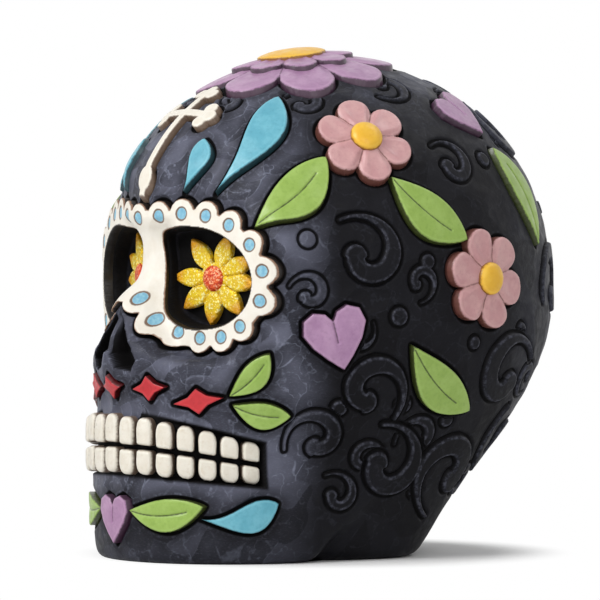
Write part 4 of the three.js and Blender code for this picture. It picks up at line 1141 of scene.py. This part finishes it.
NOSE_TIP, NOSE_TALL, NOSE_WIDE, NOSTRIL_WIDE, SEPTUM = 64.0, 15.0, 8.6, 7.6, 1.2
NOSE_SIDE = [(0.08, 0), (0.46, -0.3), (0.86, -0.62), (1.06, -0.86), (0.76, -1.02), (0.3, -0.95)]
NOSE_FAR_SIDE = [(-u, v) for u, v in NOSE_SIDE[::-1]]
NOSE = loop_distance(np.array(NOSE_SIDE + [(0, -0.72)] + NOSE_FAR_SIDE) * (NOSE_WIDE, NOSE_TALL))
NOSTRIL = loop_distance(np.array([
    (0, -0.06), (0.44, -0.34), (0.92, -0.64), (1.12, -0.84), (0.88, -1.03), (0.28, -0.97), (-0.02, -0.74),
]) * (NOSTRIL_WIDE, NOSE_TALL) + (SEPTUM, 0))


def hollow(p):
    """Pushes points in at the eyes, the nose and the mouth. Gives them, and how deep in each one lies."""
    deep = np.zeros(len(p))
    folded = np.concatenate((np.abs(p[:, :1]), p[:, 1:]), 1)
    side = np.where(p[:, 0] < 0, -1.0, 1.0)
    u, v, w = EYE.places(folded)
    here = np.flatnonzero((np.abs(u) < 17) & (np.abs(v) < 14) & (w > -14))
    share = step(0.1, -0.7, EYE_OPENING(u[here], v[here]))
    folded[here] -= ((w[here] + SOCKET_DEPTH) * share)[:, None] * EYE.out
    deep[here] = share

    x, y, z = folded.T.copy()
    here = np.flatnonzero((x < 10) & (y < -50) & (z > 47) & (z < 66))
    notch = step(0.0, -1.2, NOSE(x[here], z[here] - NOSE_TIP))
    nostril = NOSTRIL(x[here], z[here] - NOSE_TIP)
    folded[here, 1] = y[here] + 1.4 * notch + 5.6 * step(0.1, -0.9, nostril)
    deep[here] = np.maximum(deep[here], np.maximum(step(0.3, -0.05, nostril), notch * 0.4))

    x, y, z = folded.T.copy()
    angle = np.arctan2(x, -(y + ARCH_AHEAD))
    radius = np.hypot(x, y + ARCH_AHEAD)
    low = bite(angle) - BITE_GAP - row_height(LOWER_TALL, angle) - 0.35
    high = bite(angle) + row_height(UPPER_TALL, angle) + 0.35
    beyond = (angle - TEETH_HALF_SPAN - 0.2 / ARCH) * ARCH
    out = np.maximum(np.maximum(low - z, z - high), beyond)
    share = step(0.15, -0.5, out) * (radius > RECESS) * (y < -20)
    pulled = radius + (RECESS - radius) * share
    folded[:, 0] = x * pulled / np.maximum(radius, 1e-6)
    folded[:, 1] = (y + ARCH_AHEAD) * pulled / np.maximum(radius, 1e-6) - ARCH_AHEAD
    deep = np.maximum(deep, step(0.9, 0.1, out) * (radius > RECESS - 0.7) * (folded[:, 1] < -20) * (z < 45))
    return np.concatenate((folded[:, :1] * side[:, None], folded[:, 1:]), 1), deep


def make_skull():
    grid, angle = skull_grid()
    rows = len(grid)
    normal = grid_normals(grid).reshape(-1, 3)
    area = np.linalg.norm(np.cross(np.gradient(grid, axis=0), np.roll(grid, -1, 1) - grid), axis=-1).ravel()
    p = grid.reshape(-1, 3)
    brush = front_share(p)
    middle, border, shade = facets(p, area, brush)
    motif, bold, curl = (carve_distance(p, kind) for kind in ("motif", "bold", "curl"))
    curl = np.where(bold < 1.2, np.maximum(curl, 0.9), curl)
    curl = np.minimum(curl, bold)
    curl = np.where(motif < 1.3, np.maximum(curl, 0.9), curl)
    bold = np.where(motif < 1.3, np.maximum(bold, 0.9), bold)
    near_foot = step(0.5, 4, p[:, 2])
    relief_height = (0.006 + 0.012 * brush) * np.minimum(middle, 36) - 0.15
    groove = -0.9 * step(1.0, 0.3, motif)
    raised = 0.45 * step(0.15, -0.5, curl) + 0.4 * step(0.15, -0.5, bold) - 0.75 * bell((curl - 0.35) / 0.4)
    away = step(0.8, 1.8, motif) * step(-0.4, 0.6, curl)
    p = p + normal * ((relief_height * away + groove + raised) * near_foot)[:, None]
    p, deep = hollow(p)
    facts = {"brush": brush, "ridge": border, "facet": shade, "motif": motif, "curl": curl, "deep": deep}
    top = p.reshape(rows, SECTORS, 3)[-1].mean(0)
    round_turn = np.stack((np.sin(angle), -np.cos(angle)), 1)
    ledge = np.concatenate((round_turn * LEDGE + (0, FOOT_MIDDLE), np.zeros((SECTORS, 1))), 1)
    high_ledge = ledge + (0, 0, LEDGE_HEIGHT)
    points = np.concatenate((high_ledge, ledge, p, [top, (0, FOOT_MIDDLE, LEDGE_HEIGHT)]))
    j = np.arange(SECTORS)
    k = (j + 1) % SECTORS
    base = np.arange(rows + 1)[:, None] * SECTORS
    quads = np.stack((base + j, base + k, base + SECTORS + k, base + SECTORS + j), -1).reshape(-1, 4)
    last = (rows + 1) * SECTORS
    triangles = np.concatenate((
        np.stack((last + j, last + k, np.full(SECTORS, len(points) - 2)), 1),
        np.stack((k, j, np.full(SECTORS, len(points) - 1)), 1),
    ))
    filler = {"brush": 0.0, "ridge": 5.0, "facet": 0.2, "motif": FAR, "curl": FAR, "deep": 1.0}
    padded = {}
    for key, values in facts.items():
        cap = values[-SECTORS:].mean()
        padded[key] = np.concatenate((np.full(2 * SECTORS, filler[key]), values, [cap, filler[key]]))
    skull = new_mesh("skull_cast", points, quads, padded, None, triangles)
    dress(skull, SLATE, "slate", "skull_shell")


make_skull()

felt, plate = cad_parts["base_felt"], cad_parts["base_plate"]
for obj, material in ((felt, felt_paint()), (plate, plate_paint())):
    obj.data.materials.clear()
    obj.data.materials.append(material)

# Floor, light and camera. The photograph has the head's axis at one column and its foot at one row

AIM_HEIGHT = 64.0
IMAGE, AXIS_COLUMN, FOOT_ROW, PIXELS_PER_MM = 600, 319.0, 552.7, 3.85
CAMERA_TURN, CAMERA_RISE, CAMERA_DISTANCE, SENSOR = 57.0, 1.5, 1.6, 36


def make_floor():
    """A pale disc that keeps the part's shadow near its foot and is seen as plain white farther out."""
    count = 96
    angle = np.arange(count) * math.tau / count
    rings = [60, 120, 200, 320, 500, 900, 2000]
    points = [(r * math.sin(a), r * math.cos(a) - SHIFT, -0.02) for r in rings for a in angle]
    points.append((0, -SHIFT, -0.02))
    j = np.arange(count)
    k = (j + 1) % count
    base = np.arange(len(rings) - 1)[:, None] * count
    quads = np.stack((base + k, base + count + k, base + count + j, base + j), -1).reshape(-1, 4)
    triangles = np.stack((np.full(count, len(points) - 1), k, j), 1)
    floor = new_mesh("pale_floor", np.array(points), quads, None, None, triangles)
    p = Paint("pale_floor")
    length = p.tree.nodes.new("ShaderNodeVectorMath")
    length.operation = "LENGTH"
    p.feed(length, {0: p.place})
    fade = p.range(length.outputs["Value"], 0.042, 0.066)
    seen = p.tree.nodes.new("ShaderNodeLightPath").outputs["Is Camera Ray"]
    speckle = p.range(p.noise(3, 3), 0.3, 0.7, 0.0, 0.03)
    p.set(Base_Color=p.mix(speckle, (252, 252, 252), (244, 244, 244)), Roughness=0.8)
    glow = p.tree.nodes.new("ShaderNodeEmission")
    blend = p.tree.nodes.new("ShaderNodeMixShader")
    p.feed(blend, {0: p.times(fade, seen), 1: p.shader.outputs[0], 2: glow.outputs[0]})
    p.tree.links.new(blend.outputs[0], p.tree.nodes["Material Output"].inputs["Surface"])
    floor.data.materials.append(p.material)
    floor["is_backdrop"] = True


def ray_out(turn, rise):
    """The direction out of the part, turned from its face and raised by angles in degrees."""
    a, e = math.radians(turn), math.radians(rise)
    return Vector((math.sin(a) * math.cos(e), -math.cos(a) * math.cos(e), math.sin(e)))


def add_lamp(name, turn, rise, distance, size, power):
    data = bpy.data.lights.new(name, "AREA")
    data.shape = "DISK"
    data.size = size
    data.energy = power
    lamp = bpy.data.objects.new(name, data)
    bpy.context.scene.collection.objects.link(lamp)
    ray = ray_out(turn, rise)
    lamp.location = Vector((0, 0, AIM_HEIGHT * METRE)) + ray * distance
    lamp.rotation_euler = ray.to_track_quat("Z", "Y").to_euler()


def make_world():
    """Soft light from all round, and plain white where the camera or a gloss looks past the part."""
    world = bpy.data.worlds.new("studio")
    world.use_nodes = True
    bpy.context.scene.world = world
    nodes, links = world.node_tree.nodes, world.node_tree.links
    ground, white = nodes["Background"], nodes.new("ShaderNodeBackground")
    for shader, strength in ((ground, 0.3), (white, 1.0)):
        shader.inputs["Color"].default_value = (1, 1, 1, 1)
        shader.inputs["Strength"].default_value = strength
    path = nodes.new("ShaderNodeLightPath")
    seen = path.outputs["Is Camera Ray"]
    for ray in ("Is Glossy Ray", "Is Transmission Ray"):
        either = nodes.new("ShaderNodeMath")
        either.operation = "MAXIMUM"
        links.new(seen, either.inputs[0])
        links.new(path.outputs[ray], either.inputs[1])
        seen = either.outputs[0]
    blend = nodes.new("ShaderNodeMixShader")
    for i, socket in enumerate((seen, ground.outputs[0], white.outputs[0])):
        links.new(socket, blend.inputs[i])
    links.new(blend.outputs[0], nodes["World Output"].inputs["Surface"])


def make_camera():
    back = ray_out(CAMERA_TURN, CAMERA_RISE)
    data = bpy.data.cameras.new("photograph")
    data.sensor_width = SENSOR
    data.lens = CAMERA_DISTANCE * PIXELS_PER_MM / METRE / IMAGE * SENSOR
    data.shift_x = (IMAGE / 2 - AXIS_COLUMN) / IMAGE
    aim_rows = AIM_HEIGHT * PIXELS_PER_MM * math.cos(math.radians(CAMERA_RISE))
    data.shift_y = (FOOT_ROW - aim_rows - IMAGE / 2) / IMAGE
    camera = bpy.data.objects.new("photograph", data)
    bpy.context.scene.collection.objects.link(camera)
    camera.location = Vector((0, SHIFT * METRE, AIM_HEIGHT * METRE)) + back * CAMERA_DISTANCE
    camera.rotation_euler = back.to_track_quat("Z", "Y").to_euler()
    bpy.context.scene.camera = camera


make_floor()
make_world()
make_camera()
add_lamp("key", 8, 40, 1.1, 0.6, 7.4)
add_lamp("fill", 75, 25, 1.4, 0.9, 3.0)
add_lamp("rear", 165, 55, 1.2, 0.5, 1.6)
bpy.context.scene.view_settings.view_transform = "Standard"


def corners(box):
    return [[float(c) for c in corner] for corner in box]


{"solid": corners(solid_box), "visual": corners(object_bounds())}
